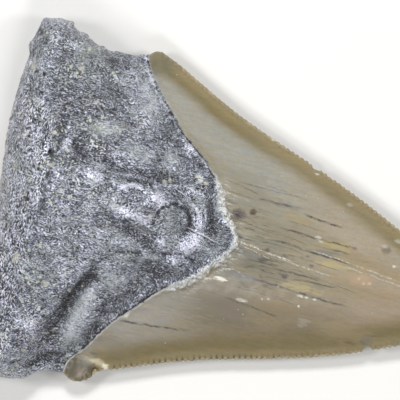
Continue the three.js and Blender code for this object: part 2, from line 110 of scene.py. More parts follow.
@dataclass(frozen=True)
class Line:
    """A smooth line through chosen places, as short straight steps."""

    places: tuple[Place, ...]
    steps: int = 8

    def samples(self) -> np.ndarray:
        """Runs a centripetal curve through the places.

        Returns:
            The curve's points, one row each.
        """
        known = np.array(self.places, float)
        padded = np.vstack([2 * known[0] - known[1], known, 2 * known[-1] - known[-2]])
        share = np.linspace(0.0, 1.0, self.steps, endpoint=False)[:, None]
        runs = []
        for before, start, end, after in zip(padded, padded[1:], padded[2:], padded[3:]):
            ways = (start - before, end - start, after - end)
            first, gap, last = (max(np.linalg.norm(way) ** 0.5, LEAST_STEP) for way in ways)
            leave = ((start - before) / first - (end - before) / (first + gap)) * gap + end - start
            arrive = ((after - end) / last - (after - start) / (gap + last)) * gap + end - start
            bend = -3 * start + 3 * end - 2 * leave - arrive
            twist = 2 * start - 2 * end + leave + arrive
            runs.append(start + leave * share + bend * share**2 + twist * share**3)
        return np.vstack([*runs, known[-1:]])

    def measure(self, plan: np.ndarray) -> tuple[np.ndarray, np.ndarray]:
        """Measures places against the line.

        Args:
            plan: The places, one row of X and Y each.

        Returns:
            The distance from the line, positive on its left, and how far along the line the nearest
            point is.
        """
        points = self.samples()
        starts, steps = points[:-1], np.diff(points, axis=0)
        lengths = np.linalg.norm(steps, axis=1)
        travelled = np.concatenate([[0.0], np.cumsum(lengths)[:-1]])
        least = np.full(len(plan), np.inf)
        side = np.zeros(len(plan))
        run = np.zeros(len(plan))
        for start, step, length, before in zip(starts, steps, lengths, travelled):
            away = plan - start
            share = np.clip(away @ step / length**2, 0.0, 1.0)
            distance = np.linalg.norm(away - share[:, None] * step, axis=1)
            nearer = distance < least
            least[nearer] = distance[nearer]
            side[nearer] = (step[0] * away[:, 1] - step[1] * away[:, 0])[nearer]
            run[nearer] = (before + share * length)[nearer]
        return np.where(side < 0, -least, least), run

    def run_at(self, place: Place) -> float:
        """Gives how far along the line the point nearest to a place is."""
        return float(self.measure(np.array([place]))[1][0])


@dataclass(frozen=True)
class Mound:
    """A soft oval mound or hollow of the surface, or of a tone on it."""

    at: Place
    size: Place
    turn: float
    rise: float

    def height(self, plan: np.ndarray) -> np.ndarray:
        """Works out the mound's height.

        Args:
            plan: The places, one row of X and Y each.

        Returns:
            The height at each place.
        """
        angle = math.radians(self.turn)
        away = plan - np.array(self.at)
        along = (away[:, 0] * math.cos(angle) + away[:, 1] * math.sin(angle)) / self.size[0]
        across = (away[:, 1] * math.cos(angle) - away[:, 0] * math.sin(angle)) / self.size[1]
        return self.rise * np.exp(-along**2 - across**2)


@dataclass(frozen=True)
class Fold:
    """A soft ridge along a line, or a groove where its rise is negative."""

    places: tuple[Place, ...]
    half_width: float
    rise: float

    def height(self, plan: np.ndarray) -> np.ndarray:
        """Works out the fold's height.

        Args:
            plan: The places, one row of X and Y each.

        Returns:
            The height at each place, which is nothing beyond three half widths.
        """
        margin = 3 * self.half_width
        lowest = np.min(self.places, axis=0) - margin
        highest = np.max(self.places, axis=0) + margin
        near = np.all((plan > lowest) & (plan < highest), axis=1)
        away, _ = Line(self.places).measure(plan[near])
        heights = np.zeros(len(plan))
        heights[near] = self.rise * np.exp(-((away / self.half_width) ** 2))
        return heights


def total(forms: tuple[Mound | Fold, ...], plan: np.ndarray) -> np.ndarray:
    """Adds up the heights of several forms at each place."""
    return sum((form.height(plan) for form in forms), np.zeros(len(plan)))


@dataclass(frozen=True)
class Waves:
    """Soft noise whose waves have a size along each axis, and a seed that picks their pattern."""

    size: tuple[float, float, float]
    height: float
    seed: float

    def at(self, points: np.ndarray) -> np.ndarray:
        """Works out the noise at each point.

        Args:
            points: The points, one row each.

        Returns:
            One value for each point, from about minus the height to the height.
        """
        scaled = points / np.array(self.size) + self.seed
        return self.height * np.array([noise.noise(Vector(point)) for point in scaled.tolist()])


@dataclass(frozen=True)
class Fields:
    """What the sculpting and the material know of each vertex, as one array each.

    They are the distance beyond the enamel's line and the way along it, in millimetres, the distance
    from the cutting edge, the way along it in serrations, the share of the way from the lower edge (-1)
    to the upper one (1), and 1 on the inner face or 0 on the outer one.
    """

    line: np.ndarray
    line_run: np.ndarray
    edge: np.ndarray
    edge_run: np.ndarray
    across: np.ndarray
    inner: np.ndarray


@dataclass(frozen=True)
class Plan:
    """The tooth's outlines, and what can be measured from them."""

    enamel_inner: Line = Line(ENAMEL_LINE_INNER)
    enamel_outer: Line = Line(ENAMEL_LINE_OUTER)
    upper_edge: Line = Line(UPPER_EDGE)
    lower_edge: Line = Line(LOWER_EDGE)
    serrations: int = 78
    side_blend: float = 0.3  # how fast the inner face passes into the outer one as the surface turns over

    def serration_pitch(self, edge: Line) -> float:
        """Gives the length of edge that one serration takes."""
        steps = np.diff(edge.samples(), axis=0)
        return float(np.linalg.norm(steps, axis=1).sum()) / self.serrations

    def fields(self, points: np.ndarray, normals: np.ndarray) -> Fields:
        """Measures every vertex against the outlines.

        Args:
            points: The vertices, in millimetres.
            normals: Their normals.

        Returns:
            The measures.
        """
        plan = points[:, :2]
        inner = smooth(normals[:, 2] / self.side_blend + 0.5)
        above, run = self.enamel_inner.measure(plan)
        below, _ = self.enamel_outer.measure(plan)
        upper, upper_run = self.upper_edge.measure(plan)
        lower, lower_run = self.lower_edge.measure(plan)
        upper, lower = np.abs(upper), np.abs(lower)
        nearer_upper = upper < lower
        edge_run = np.where(
            nearer_upper,
            upper_run / self.serration_pitch(self.upper_edge),
            lower_run / self.serration_pitch(self.lower_edge),
        )
        return Fields(
            line=above * inner + below * (1 - inner),
            line_run=run,
            edge=np.minimum(upper, lower),
            edge_run=edge_run,
            across=(lower - upper) / (lower + upper),
            inner=inner,
        )


@dataclass
class Surface:
    """The vertices of a dense mesh while they are being moved, in millimetres."""

    points: np.ndarray
    normals: np.ndarray
    ends: np.ndarray

    @classmethod
    def read(cls, piece: bpy.types.Object) -> "Surface":
        """Reads a piece's mesh.

        Args:
            piece: The piece, whose object stands at the origin.

        Returns:
            Its surface.
        """
        mesh = piece.data
        count = len(mesh.vertices)
        flat = np.empty(count * 3, np.float32)
        mesh.vertices.foreach_get("co", flat)
        points = flat.reshape(-1, 3).astype(float) / MM
        points[:, :2] -= CROWN_BASE
        turned = np.empty(count * 3, np.float32)
        mesh.vertex_normals.foreach_get("vector", turned)
        ends = np.empty(len(mesh.edges) * 2, np.int32)
        mesh.edges.foreach_get("vertices", ends)
        return cls(points, turned.reshape(-1, 3).astype(float), ends.reshape(-1, 2))

    def write(self, piece: bpy.types.Object) -> None:
        """Writes the vertices back to a piece's mesh.

        Args:
            piece: The piece that they were read from.
        """
        placed = self.points.copy()
        placed[:, :2] += CROWN_BASE
        piece.data.vertices.foreach_set("co", (placed * MM).astype(np.float32).ravel())
        piece.data.update()

    def blurred(self, values: np.ndarray, rounds: int) -> np.ndarray:
        """Averages each vertex's values with its neighbours', over and over.

        Args:
            values: One value or row for each vertex.
            rounds: How many times.

        Returns:
            The averaged values.
        """
        first, second = self.ends[:, 0], self.ends[:, 1]
        count = len(self.points)
        links = np.bincount(self.ends.ravel(), minlength=count) + 1.0
        columns = values.reshape(count, -1).copy()
        for _ in range(rounds):
            for k in range(columns.shape[1]):
                column = columns[:, k]
                around = np.bincount(first, column[second], count) + np.bincount(second, column[first], count)
                columns[:, k] = (column + around) / links
        return columns.reshape(values.shape)

    def convexity(self, rounds: int) -> np.ndarray:
        """Gives how far each vertex stands out from its surroundings, in millimetres."""
        return ((self.points - self.blurred(self.points, rounds)) * self.normals).sum(axis=1)


class Grain(Enum):
    """How long the bone's grain is along its first and its second direction, in millimetres."""

    MIDDLE = (0.58, 0.23)
    BASE = (0.25, 0.62)
    COMBED = (0.46, 0.21)

    @property
    def sizes(self) -> tuple[float, float, float]:
        """Gives the grain's length along all three axes, the third as long as the second."""
        return (*self.value, self.value[1])

    @property
    def per_mm(self) -> tuple[float, float, float]:
        """Gives how many grains lie in a millimetre along each axis."""
        first, second = self.value
        return 1 / first, 1 / second, 2 / (first + second)


RING_ARC = ((5.3, 0.6), (5.6, 1.7), (6.4, 2.8), (7.6, 3.5), (9.0, 3.4), (9.9, 2.7), (10.3, 1.8), (10.2, 0.9))
ROOT_FORMS = (
    Mound((5.1, 3.6), (1.0, 0.9), 0, 0.2),
    Mound((9.8, 6.0), (1.1, 0.8), 0, 0.3),
    Mound((10.8, -0.8), (0.5, 0.35), 48, -0.25),
    Mound((9.4, -4.0), (0.6, 0.45), 0, 0.3),
    Mound((7.1, -1.9), (0.7, 0.5), 0, 0.3),
    Mound((7.9, 11.3), (1.6, 0.8), -40, 0.3),
    Mound((10.6, 8.0), (0.9, 0.7), -40, 0.3),
    Mound((1.6, 15.2), (1.0, 2.4), 20, 0.25),
    Mound((1.4, 9.3), (1.9, 0.9), -20, 0.3),
    Mound((-6.4, 8.1), (0.9, 1.1), 0, -0.3),
    Mound((-1.8, -13.8), (3.4, 0.8), 80, 0.25),
    Mound((-7.4, -16.8), (1.4, 1.0), 0, 0.25),
    Mound((-10.0, -12.0), (2.4, 3.0), 0, 0.2),
    Mound((-11.4, 24.3), (0.5, 0.5), 0, 0.5),
    Mound((-10.3, 23.7), (0.4, 0.4), 0, -0.4),
    Mound((-9.2, 23.3), (0.5, 0.5), 0, 0.4),
    Mound((-8.3, 22.4), (0.5, 0.5), 0, -0.3),
    Mound((-6.7, 22.1), (0.4, 0.4), 0, 0.3),
    Mound((-15.3, 23.8), (0.5, 0.5), 0, 0.4),
    Mound((-15.3, 21.7), (0.4, 0.5), 0, -0.35),
    Mound((-16.0, 19.9), (0.5, 0.7), 0, 0.45),
    Mound((-16.3, 18.4), (0.4, 0.5), 0, -0.35),
    Mound((-16.9, 15.4), (0.5, 0.8), 0, 0.3),
    Fold(RING_ARC, 0.25, -0.2),
    Fold(((1.6, 1.5), (3.4, 1.1), (6.2, 0.7), (9.5, 0.8), (12.4, 0.3), (15.0, 0.1)), 0.16, 0.14),
    Fold(((-0.4, 1.4), (1.2, 1.1), (2.8, 0.8), (4.5, 0.3)), 0.5, 0.2),
    Fold(((-1.0, 4.2), (0.2, 4.1), (1.2, 4.6), (2.6, 4.8)), 0.3, 0.3),
    Fold(((4.7, 5.3), (6.0, 5.8), (7.5, 5.9)), 0.25, 0.25),
    Fold(((6.8, 0.7), (6.8, 1.8), (7.7, 2.6), (8.8, 2.4), (9.2, 1.6)), 0.22, -0.15),
    Fold(((9.2, 4.6), (10.2, 3.9), (11.2, 3.0), (11.6, 1.8)), 0.35, 0.3),
    Fold(((-2.6, 7.3), (-0.8, 6.6), (0.9, 6.5), (2.8, 6.8), (4.5, 6.8), (6.4, 7.0)), 0.3, -0.12),
    Fold(((-3.4, 6.2), (-1.4, 5.7), (0.6, 5.8), (2.2, 5.9), (3.9, 6.1)), 0.25, 0.2),
    Fold(((-0.8, -7.3), (-1.2, -8.8), (-2.0, -10.1)), 0.6, -0.4),
    Fold(((-6.1, 19.5), (-2.9, 17.8), (-0.9, 15.5), (0.3, 12.7)), 0.25, 0.15),
    Fold(((-9.6, 12.3), (-9.5, 9.6), (-9.6, 6.8), (-9.8, 4.0), (-9.9, 1.2), (-9.6, -1.5)), 0.6, -0.25),
    Fold(((-7.4, 8.9), (-6.6, 7.7), (-5.3, 6.9)), 0.4, -0.25),
    Fold(((-0.4, -6.3), (1.0, -5.2), (2.7, -4.2), (4.6, -4.0)), 0.5, -0.3),
    Fold(((5.6, -3.0), (7.4, -3.4), (9.8, -2.9), (11.8, -3.3)), 0.3, -0.25),
)
HEEL_BITE = Mound((2.4, -20.9), (0.45, 0.5), 0, -0.5)


@dataclass(frozen=True)
class RootRelief:
    """Fine relief of the bone, in millimetres."""

    lumps: Waves = Waves((3.4, 3.4, 3.4), 0.15, 3.1)
    knobs: Waves = Waves((1.8, 1.2, 1.2), 0.1, 7.7)
    crests: Waves = Waves((2.4, 1.0, 1.6), 0.24, 12.6)
    crest_top: float = 0.072
    grain_height: float = 0.08
    middle_seed: float = 1.3
    base_seed: float = 5.9
    combed_seed: float = 9.2
    base_band_x: float = -9.4
    base_band_fade: float = 2.5
    combed_width: float = 2.0
    combed_fade: float = 0.8
    fade: float = 0.5

    def heights(self, points: np.ndarray, fields: Fields) -> np.ndarray:
        """Works out how far the bone stands out at each vertex.

        Args:
            points: The vertices, in millimetres.
            fields: Their measures.

        Returns:
            The heights, in millimetres.
        """
        crests = self.crest_top - np.abs(self.crests.at(points))
        forms = total(ROOT_FORMS, points[:, :2]) * fields.inner
        relief = forms + self.lumps.at(points) + self.knobs.at(points) + crests + self.grain(points, fields)
        return relief * smooth(-fields.line / self.fade)

    def grain(self, points: np.ndarray, fields: Fields) -> np.ndarray:
        """Works out the bone's grain, which follows the base, and is combed where the enamel starts.

        Args:
            points: The vertices, in millimetres.
            fields: Their measures.

        Returns:
            The grain's heights, in millimetres.
        """
        middle = Waves(Grain.MIDDLE.sizes, self.grain_height, self.middle_seed).at(points)
        sizes = Grain.BASE.sizes[:2] + Grain.BASE.sizes[:1]
        base = Waves(sizes, self.grain_height, self.base_seed).at(points)
        by_line = np.column_stack([fields.line, fields.line_run, np.zeros(len(points))])
        combed = Waves(Grain.COMBED.sizes, self.grain_height, self.combed_seed).at(by_line)
        at_base = smooth((self.base_band_x - points[:, 0]) / self.base_band_fade)
        at_enamel = smooth((fields.line + self.combed_width) / self.combed_fade) * fields.inner
        return (middle * (1 - at_base) + base * at_base) * (1 - at_enamel) + combed * at_enamel


@dataclass(frozen=True)
class EnamelRelief:
    """Fine relief of the crown: long ripples, notched edges and a crumbly border by the root."""

    ripples: Waves = Waves((14.0, 1.6, 6.0), 0.035, 2.2)
    crumbs: Waves = Waves((0.5, 0.5, 0.5), 1.0, 4.4)
    border_height: float = 0.2
    border_width: float = 0.5
    border_from_line: float = 0.2
    fade: float = 0.3
    notch_depth: float = 0.13
    notch_reach: float = 0.62
    notch_sharpness: int = 3
    smooth_by_root: float = 1.5  # how far from the root the first notch is
    worn_share: float = 0.2  # how much is left of the notches where the upper edge is worn
    worn_until_x: float = 12.0
    worn_fade: float = 14.0
    heel: Place = (0.2, -20.6)
    heel_radius: float = 2.6
    heel_ring: float = 0.62
    heel_ring_height: float = 0.03

    def heights(self, points: np.ndarray, fields: Fields) -> np.ndarray:
        """Works out how far the enamel stands out at each vertex.

        Args:
            points: The vertices, in millimetres.
            fields: Their measures.

        Returns:
            The heights, in millimetres.
        """
        from_border = (fields.line - self.border_from_line) / self.border_width
        border = self.border_height * (0.5 + self.crumbs.at(points)) * np.exp(-(from_border**2))
        relief = self.ripples.at(points) + border * fields.inner + self.heel_rings(points)
        return relief * smooth(fields.line / self.fade + 1)

    def heel_rings(self, points: np.ndarray) -> np.ndarray:
        """Works out the curled layers of the heel.

        Args:
            points: The vertices, in millimetres.

        Returns:
            The layers' heights, in millimetres.
        """
        radius = np.linalg.norm(points[:, :2] - np.array(self.heel), axis=1)
        rings = np.cos(2 * math.pi * radius / self.heel_ring)
        return self.heel_ring_height * rings * smooth(self.heel_radius - radius)

    def notches(self, points: np.ndarray, fields: Fields) -> np.ndarray:
        """Works out how deep the notches between the serrations are.

        Args:
            points: The vertices, in millimetres.
            fields: Their measures.

        Returns:
            The depths, in millimetres, less where the upper edge is worn beside the root.
        """
        open_share = (0.5 + 0.5 * np.cos(2 * math.pi * fields.edge_run)) ** self.notch_sharpness
        reach = np.clip(1 - fields.edge / self.notch_reach, 0, 1)
        unworn = smooth((points[:, 0] - self.worn_until_x) / self.worn_fade)
        kept = self.worn_share + (1 - self.worn_share) * unworn
        kept = np.where(fields.across > 0, kept, 1.0)
        from_root = smooth(fields.line / self.smooth_by_root - 1)
        return self.notch_depth * open_share * reach * kept * from_root


# The bone's own lighter and darker tone, with painted highlights (the strong rises on the glossy bosses and
# ridges) and painted shade (the dark folds and hollows along its troughs, grooves, the ring's arc and the
# crater)
ROOT_TONES_AND_PAINTED_LIGHT = (
    Mound((-13.0, 2), (2.6, 14), 0, 0.5),
    Mound((1.2, 17), (2.4, 4.0), 10, 2.5),
    Mound((-3.8, 11.2), (2.0, 1.2), 0, 0.9),
    Mound((-8.0, 21.0), (1.3, 0.8), 0, 1.2),
    Mound((-8.0, 8.0), (0.8, 0.8), 0, 1.0),
    Mound((1.3, 9.5), (2.2, 1.2), -20, 0.8),
    Mound((5.5, 9.6), (1.6, 1.2), -20, 0.6),
    Mound((-6, -18), (5, 4), 0, 0.3),
    Mound((-8.0, 17.0), (5.0, 7.0), 0, -1.2),
    Mound((-4.5, 6.0), (3.5, 3.0), 0, -0.7),
    Mound((7.7, 1.4), (1.7, 1.7), 0, -1.0),
    Mound((1.6, -2.1), (1.5, 0.7), -20, 0.5),
    Mound((3.1, -8.4), (1.8, 1.4), 0, 0.7),
    Mound((-1.0, -7.4), (4.5, 3.5), 0, 0.8),
    Mound((-6.2, 8.0), (1.4, 1.6), 0, -0.9),
    Mound((7.7, -5.9), (1.4, 0.7), 0, -0.8),
    Mound((5.2, 3.8), (1.1, 0.8), 0, 3.6),
    Mound((10.8, -1.3), (1.6, 0.9), 48, 4.6),
    Mound((8.1, -1.2), (1.2, 1.3), 0, -1.0),
    Mound((13.7, 0.1), (1.6, 1.4), 0, -0.9),
    Mound((13.3, 4.9), (0.55, 1.5), 22, 2.6),
    Mound((10.8, -0.9), (0.5, 0.3), 48, -2.6),
    Mound((11.6, 1.4), (0.8, 0.5), 30, 2.6),
    Fold(((11.5, 4.0), (12.0, 3.2), (12.1, 2.2)), 0.2, 2.2),
    Mound((9.6, 5.8), (0.9, 0.4), -10, 2.2),
    Mound((-3.6, 4.6), (1.2, 1.1), 0, 2.4),
    Mound((7.9, 11.3), (1.4, 0.7), -40, 1.2),
    Mound((9.4, -4.0), (0.6, 0.4), 0, 2.2),
    Mound((7.1, -1.9), (0.6, 0.5), 0, 1.6),
    Mound((-1.9, -16.9), (0.8, 0.35), 10, 3.0),
    Mound((-7.4, -16.8), (1.2, 0.7), 0, 1.2),
    Fold(RING_ARC, 0.35, -0.4),
    Fold(((-0.4, 1.4), (1.2, 1.1), (2.8, 0.8), (4.5, 0.3)), 0.45, 2.6),
    Fold(((0.1, 4.1), (1.2, 4.6), (2.6, 4.8)), 0.22, 2.6),
    Fold(((4.7, 5.3), (6.0, 5.8), (7.5, 5.9)), 0.2, 1.8),
    Fold(((8.9, 4.4), (10.2, 3.8), (11.0, 3.0), (11.4, 1.8)), 0.26, 2.4),
    Fold(((10.7, 6.9), (11.6, 5.7), (12.5, 4.2), (12.8, 2.6), (12.6, 1.2)), 0.42, -1.6),
    Fold(((1.9, 6.7), (2.8, 6.8), (4.5, 6.8), (6.4, 7.0)), 0.6, -0.7),
    Fold(((-2.6, 7.3), (-0.8, 6.6), (0.9, 6.5)), 0.6, 0.4),
    Fold(((-1.6, 0.2), (0.2, -0.4), (2.0, -1.0), (3.6, -1.9), (5.0, -2.6)), 0.5, -0.8),
    Fold(((2.9, -10.8), (4.4, -9.3), (6.0, -7.9), (8.0, -6.4), (9.6, -5.4)), 0.6, -0.8),
    Fold(((-0.7, -8.2), (-2.2, -9.9), (-3.3, -11.9), (-4.1, -13.8), (-4.7, -16.0), (-4.5, -18.0)), 0.8, -2.3),
    Mound((-0.6, -8.4), (1.6, 0.9), 20, -0.9),
    Fold(((1.6, -11.2), (1.3, -12.8), (0.9, -14.6), (0.1, -16.8)), 0.5, -0.9),
    Mound((-0.9, -12.6), (1.6, 2.4), -10, 0.9),
    Fold(((-0.6, -10.6), (-1.5, -12.2), (-1.9, -14.1), (-2.0, -15.9), (-1.8, -16.9)), 1.0, 1.8),
    Fold(((-6.6, -22.3), (-5.2, -21.1), (-4.0, -20.3), (-3.4, -19.3)), 0.4, -2.2),
    Fold(((-9.6, 12.3), (-9.5, 9.6), (-9.6, 6.8), (-9.8, 4.0), (-9.9, 1.2), (-9.6, -1.5)), 0.8, -0.6),
)
# Glossy bosses: smoother and shinier, and their grain is also lightened into painted highlights
GLOSS = (
    Mound((10.7, -1.0), (1.6, 1.2), 48, 1.2),
    Mound((2.0, 0.9), (2.6, 0.8), -10, 1.0),
    Mound((5.1, 3.6), (1.2, 1.1), 10, 1.0),
    Mound((1.2, 4.6), (2.2, 0.8), 0, 0.8),
    Mound((9.8, 5.6), (1.6, 0.9), -30, 0.9),
    Mound((11.4, 2.6), (1.9, 0.8), 103, 1.0),
    Mound((-3.5, 4.7), (1.5, 1.2), 0, 1.0),
    Mound((7.9, 11.3), (1.8, 0.8), -40, 0.8),
    Mound((7.1, -1.9), (0.9, 0.7), 0, 0.9),
    Mound((9.4, -4.0), (0.9, 0.7), 0, 0.9),
    Mound((-7.4, -16.8), (1.6, 0.9), 0, 0.8),
    Mound((-1.7, -17.2), (0.9, 0.5), 0, 0.9),
)
MATTE = (
    Mound((-1.7, -13.9), (3.8, 1.3), 80, 0.6),
    Mound((-0.9, -12.6), (1.8, 2.6), -10, 0.25),
    Mound((1.9, -8.3), (2.0, 1.8), 0, 0.8),
    Mound((1.2, 9.3), (2.4, 1.1), -20, 0.8),
    Mound((-4.1, 10.9), (1.8, 1.1), 0, 0.6),
    Mound((-8.6, 18.5), (2.6, 2.2), 0, 0.5),
    Mound((-7.0, 18.0), (6.0, 5.5), 0, 0.35),
    Mound((1.0, 16.5), (1.8, 3.2), 10, 0.6),
    Mound((-8.0, 21.0), (1.4, 1.0), 0, 0.7),
    Mound((7.6, 1.4), (1.7, 1.6), 0, 0.9),
    Mound((0.5, -4.2), (2.2, 1.2), -15, 0.5),
    Mound((3.6, -4.8), (2.6, 1.4), 0, 0.6),
    Mound((-8.2, -9.9), (2.6, 2.2), 0, 0.5),
    Mound((-1.5, -17.6), (1.6, 1.2), 0, 0.8),
    Mound((13.9, -0.4), (1.7, 1.8), 0, 0.8),
    Mound((13.3, 4.9), (0.6, 1.4), 22, 0.9),
    Mound((8.1, -1.4), (0.9, 1.2), 0, 0.5),
    Mound((5.5, 9.6), (1.6, 1.2), -20, 0.7),
    Mound((1.6, -2.1), (1.4, 0.7), -20, 0.7),
    Mound((6.3, -3.8), (1.4, 0.9), 0, 0.5),
)


@dataclass(frozen=True)
class Texture:
    """Noise in the material: its waves in a millimetre, along each axis or alike along all."""

    per_mm: float | tuple[float, float, float]
    detail: float = 3.0
    roughness: float = 0.5
    turn: float = 0.0
    shift: float = 0.0


@dataclass(frozen=True)
class Specks:
    """Small round specks: the cells in a millimetre, their radius and the share of cells without one."""

    per_mm: float
    radius: float
    rarity: float


class Graph:
    """A material's nodes, with a short call for each kind that the finishes use."""

    speck_edge = 0.6  # where a speck is whole, as a share of its radius
    dome = (0.75, 0.1)  # how far from a cell's middle its dome starts and is whole

    def __init__(self, name: str) -> None:
        """Starts an empty material.

        Args:
            name: The material's name.
        """
        self.material = bpy.data.materials.new(name)
        self.material.use_nodes = True
        self.tree = self.material.node_tree
        self.tree.nodes.clear()

    def add(self, kind: str, **settings: object) -> bpy.types.Node:
        """Adds a node.

        Args:
            kind: The node's type.
            settings: Its properties.

        Returns:
            The node.
        """
        node = self.tree.nodes.new(kind)
        for name, value in settings.items():
            setattr(node, name, value)
        return node

    def feed(self, sockets: Sequence[Socket], *values: Input) -> None:
        """Links each socket to a value's socket, or sets it.

        Args:
            sockets: The sockets, in the values' order. Sockets without a value stay as they are.
            values: What they get.
        """
        for socket, value in zip(sockets, values):
            if isinstance(value, Socket):
                self.tree.links.new(value, socket)
            elif isinstance(value, tuple) and socket.type == "RGBA":
                socket.default_value = (*value, 1.0)
            else:
                socket.default_value = value

    def math(self, operation: str, *values: Input) -> Socket:
        """Adds a Math node.

        Args:
            operation: What it does.
            values: What it does that to.

        Returns:
            The result.
        """
        node = self.add("ShaderNodeMath", operation=operation)
        self.feed(node.inputs, *values)
        return node.outputs[0]

    def times(self, first: Input, second: Input) -> Socket:
        """Multiplies two values."""
        return self.math("MULTIPLY", first, second)

    def plus(self, first: Input, second: Input) -> Socket:
        """Adds two values."""
        return self.math("ADD", first, second)

    def away(self, value: Input, middle: Input = 0.5) -> Socket:
        """Gives how far a value is from a middle, on either side."""
        return self.math("ABSOLUTE", self.math("SUBTRACT", value, middle))

    def stray(self, value: Input, amount: float) -> Socket:
        """Turns noise around a half into noise around nothing that spans an amount."""
        return self.math("MULTIPLY_ADD", value, amount, -amount / 2)

    def vector(self, operation: str, *values: Input) -> Socket:
        """Adds a Vector Math node.

        Args:
            operation: What it does.
            values: What it does that to.

        Returns:
            The result, a number for a length and else a vector.
        """
        node = self.add("ShaderNodeVectorMath", operation=operation)
        self.feed(node.inputs, *values)
        return node.outputs["Value" if operation == "LENGTH" else "Vector"]

    def attribute(self, name: str) -> Socket:
        """Reads one of the piece's own attributes."""
        return self.add("ShaderNodeAttribute", attribute_name=name).outputs["Fac"]

    def share(self, value: Input, *limits: float) -> Socket:
        """Eases a value from one range to another, clipped at both ends.

        Args:
            value: The value.
            limits: Where it starts and ends, and what it then starts and ends as, else 0 and 1.

        Returns:
            The eased value.
        """
        node = self.add("ShaderNodeMapRange", interpolation_type="SMOOTHSTEP")
        self.feed(node.inputs, value, *limits)
        return node.outputs["Result"]

    def mix(self, share: Input, first: Input, second: Input, blend: str = "MIX") -> Socket:
        """Mixes two colours.

        Args:
            share: How much of the second there is.
            first: The first colour.
            second: The second colour.
            blend: How the second is laid over the first.

        Returns:
            The mixed colour.
        """
        node = self.add("ShaderNodeMix", data_type="RGBA", blend_type=blend)
        self.feed((node.inputs[0], node.inputs[6], node.inputs[7]), share, first, second)
        return node.outputs[2]

    def blend(self, share: Input, first: Input, second: Input) -> Socket:
        """Mixes two values.

        Args:
            share: How much of the second there is.
            first: The first value.
            second: The second value.

        Returns:
            The mixed value.
        """
        node = self.add("ShaderNodeMix", data_type="FLOAT")
        self.feed((node.inputs[0], node.inputs[2], node.inputs[3]), share, first, second)
        return node.outputs[0]

    def ramp(self, value: Input, *stops: tuple[float, Colour]) -> Socket:
        """Turns a value into a colour.

        Args:
            value: The value.
            stops: The values that have a colour of their own, and their colours.

        Returns:
            The colour.
        """
        node = self.add("ShaderNodeValToRGB")
        elements = node.color_ramp.elements
        while len(elements) < len(stops):
            elements.new(0.5)
        for element, (position, colour) in zip(elements, stops):
            element.position = position
            element.color = (*colour, 1.0)
        self.feed(node.inputs, value)
        return node.outputs["Color"]

    def noise(self, place: Input, texture: Texture) -> Socket:
        """Adds noise.

        Args:
            place: The texture coordinates, in millimetres.
            texture: The kind of noise.

        Returns:
            The noise, around a half.
        """
        scale = texture.per_mm
        if isinstance(scale, tuple):
            place = self.stretched(place, scale, texture.turn, texture.shift)
            scale = 1.0
        node = self.add("ShaderNodeTexNoise")
        sockets = [node.inputs[name] for name in ("Vector", "Scale", "Detail", "Roughness")]
        self.feed(sockets, place, scale, texture.detail, texture.roughness)
        return node.outputs["Fac"]

    def stretched(
        self, place: Input, scale: tuple[float, float, float], turn: float = 0.0, shift: float = 0.0
    ) -> Socket:
        """Scales a place along each axis.

        Args:
            place: The place.
            scale: The scale along each axis.
            turn: How far it is turned about Z first, in degrees.
            shift: How far it is moved along X and along Y.

        Returns:
            The scaled place.
        """
        node = self.add("ShaderNodeMapping")
        sockets = [node.inputs[name] for name in ("Vector", "Location", "Rotation", "Scale")]
        moved = (scale[0] * shift, scale[1] * shift, 0.0)
        self.feed(sockets, place, moved, (0.0, 0.0, math.radians(turn)), scale)
        return node.outputs["Vector"]

    def voronoi(self, place: Input, scale: float) -> tuple[Socket, Socket]:
        """Scatters cells.

        Args:
            place: The texture coordinates.
            scale: The cells in one unit.

        Returns:
            The distance from the cell's middle, and a number of the cell's own from 0 to 1.
        """
        node = self.add("ShaderNodeTexVoronoi")
        self.feed((node.inputs["Vector"], node.inputs["Scale"]), place, scale)
        split = self.add("ShaderNodeSeparateColor")
        self.feed(split.inputs, node.outputs["Color"])
        return node.outputs["Distance"], split.outputs[0]

    def specks(self, place: Input, specks: Specks) -> Socket:
        """Scatters small round specks.

        Args:
            place: The texture coordinates, in millimetres.
            specks: The kind of specks.

        Returns:
            The specks' mask.
        """
        distance, own = self.voronoi(place, specks.per_mm)
        chosen = self.math("GREATER_THAN", own, specks.rarity)
        inside = self.share(distance, specks.radius, specks.radius * self.speck_edge)
        return self.times(inside, chosen)

    def cells(self, place: Input) -> tuple[Socket, Socket]:
        """Packs rounded cells one unit apart.

        Args:
            place: The texture coordinates.

        Returns:
            Each cell's dome, from 0 in the gaps to 1, and a number of the cell's own from 0 to 1.
        """
        distance, own = self.voronoi(place, 1.0)
        return self.share(distance, *self.dome), own

    def warped(self, place: Input, scale: float, amount: float) -> Socket:
        """Shifts a place by soft noise.

        Args:
            place: The place.
            scale: The noise's waves in one unit.
            amount: How far the noise reaches from one side to the other.

        Returns:
            The shifted place.
        """
        node = self.add("ShaderNodeTexNoise")
        self.feed((node.inputs["Vector"], node.inputs["Scale"]), place, scale)
        centred = self.vector("SUBTRACT", node.outputs["Color"], (0.5, 0.5, 0.5))
        return self.vector("ADD", place, self.vector("MULTIPLY", centred, (amount, amount, amount)))

    def flat(self, place: Input) -> Socket:
        """Drops a place's height."""
        return self.vector("MULTIPLY", place, (1.0, 1.0, 0.0))

    def grey(self, value: Input) -> Socket:
        """Turns a value into a grey colour.

        Args:
            value: The value.

        Returns:
            The grey.
        """
        node = self.add("ShaderNodeCombineColor")
        self.feed(node.inputs, value, value, value)
        return node.outputs[0]

    def tinted(self, colour: Input, tone: Input) -> Socket:
        """Multiplies two colours."""
        return self.mix(1.0, colour, tone, "MULTIPLY")

    def relief(self, height: Input, unit: float) -> Socket:
        """Turns heights into a relief.

        Args:
            height: The heights.
            unit: How many metres one of them counts.

        Returns:
            The relief's normal.
        """
        node = self.add("ShaderNodeBump")
        self.feed((node.inputs["Distance"], node.inputs["Height"]), unit, height)
        return node.outputs["Normal"]

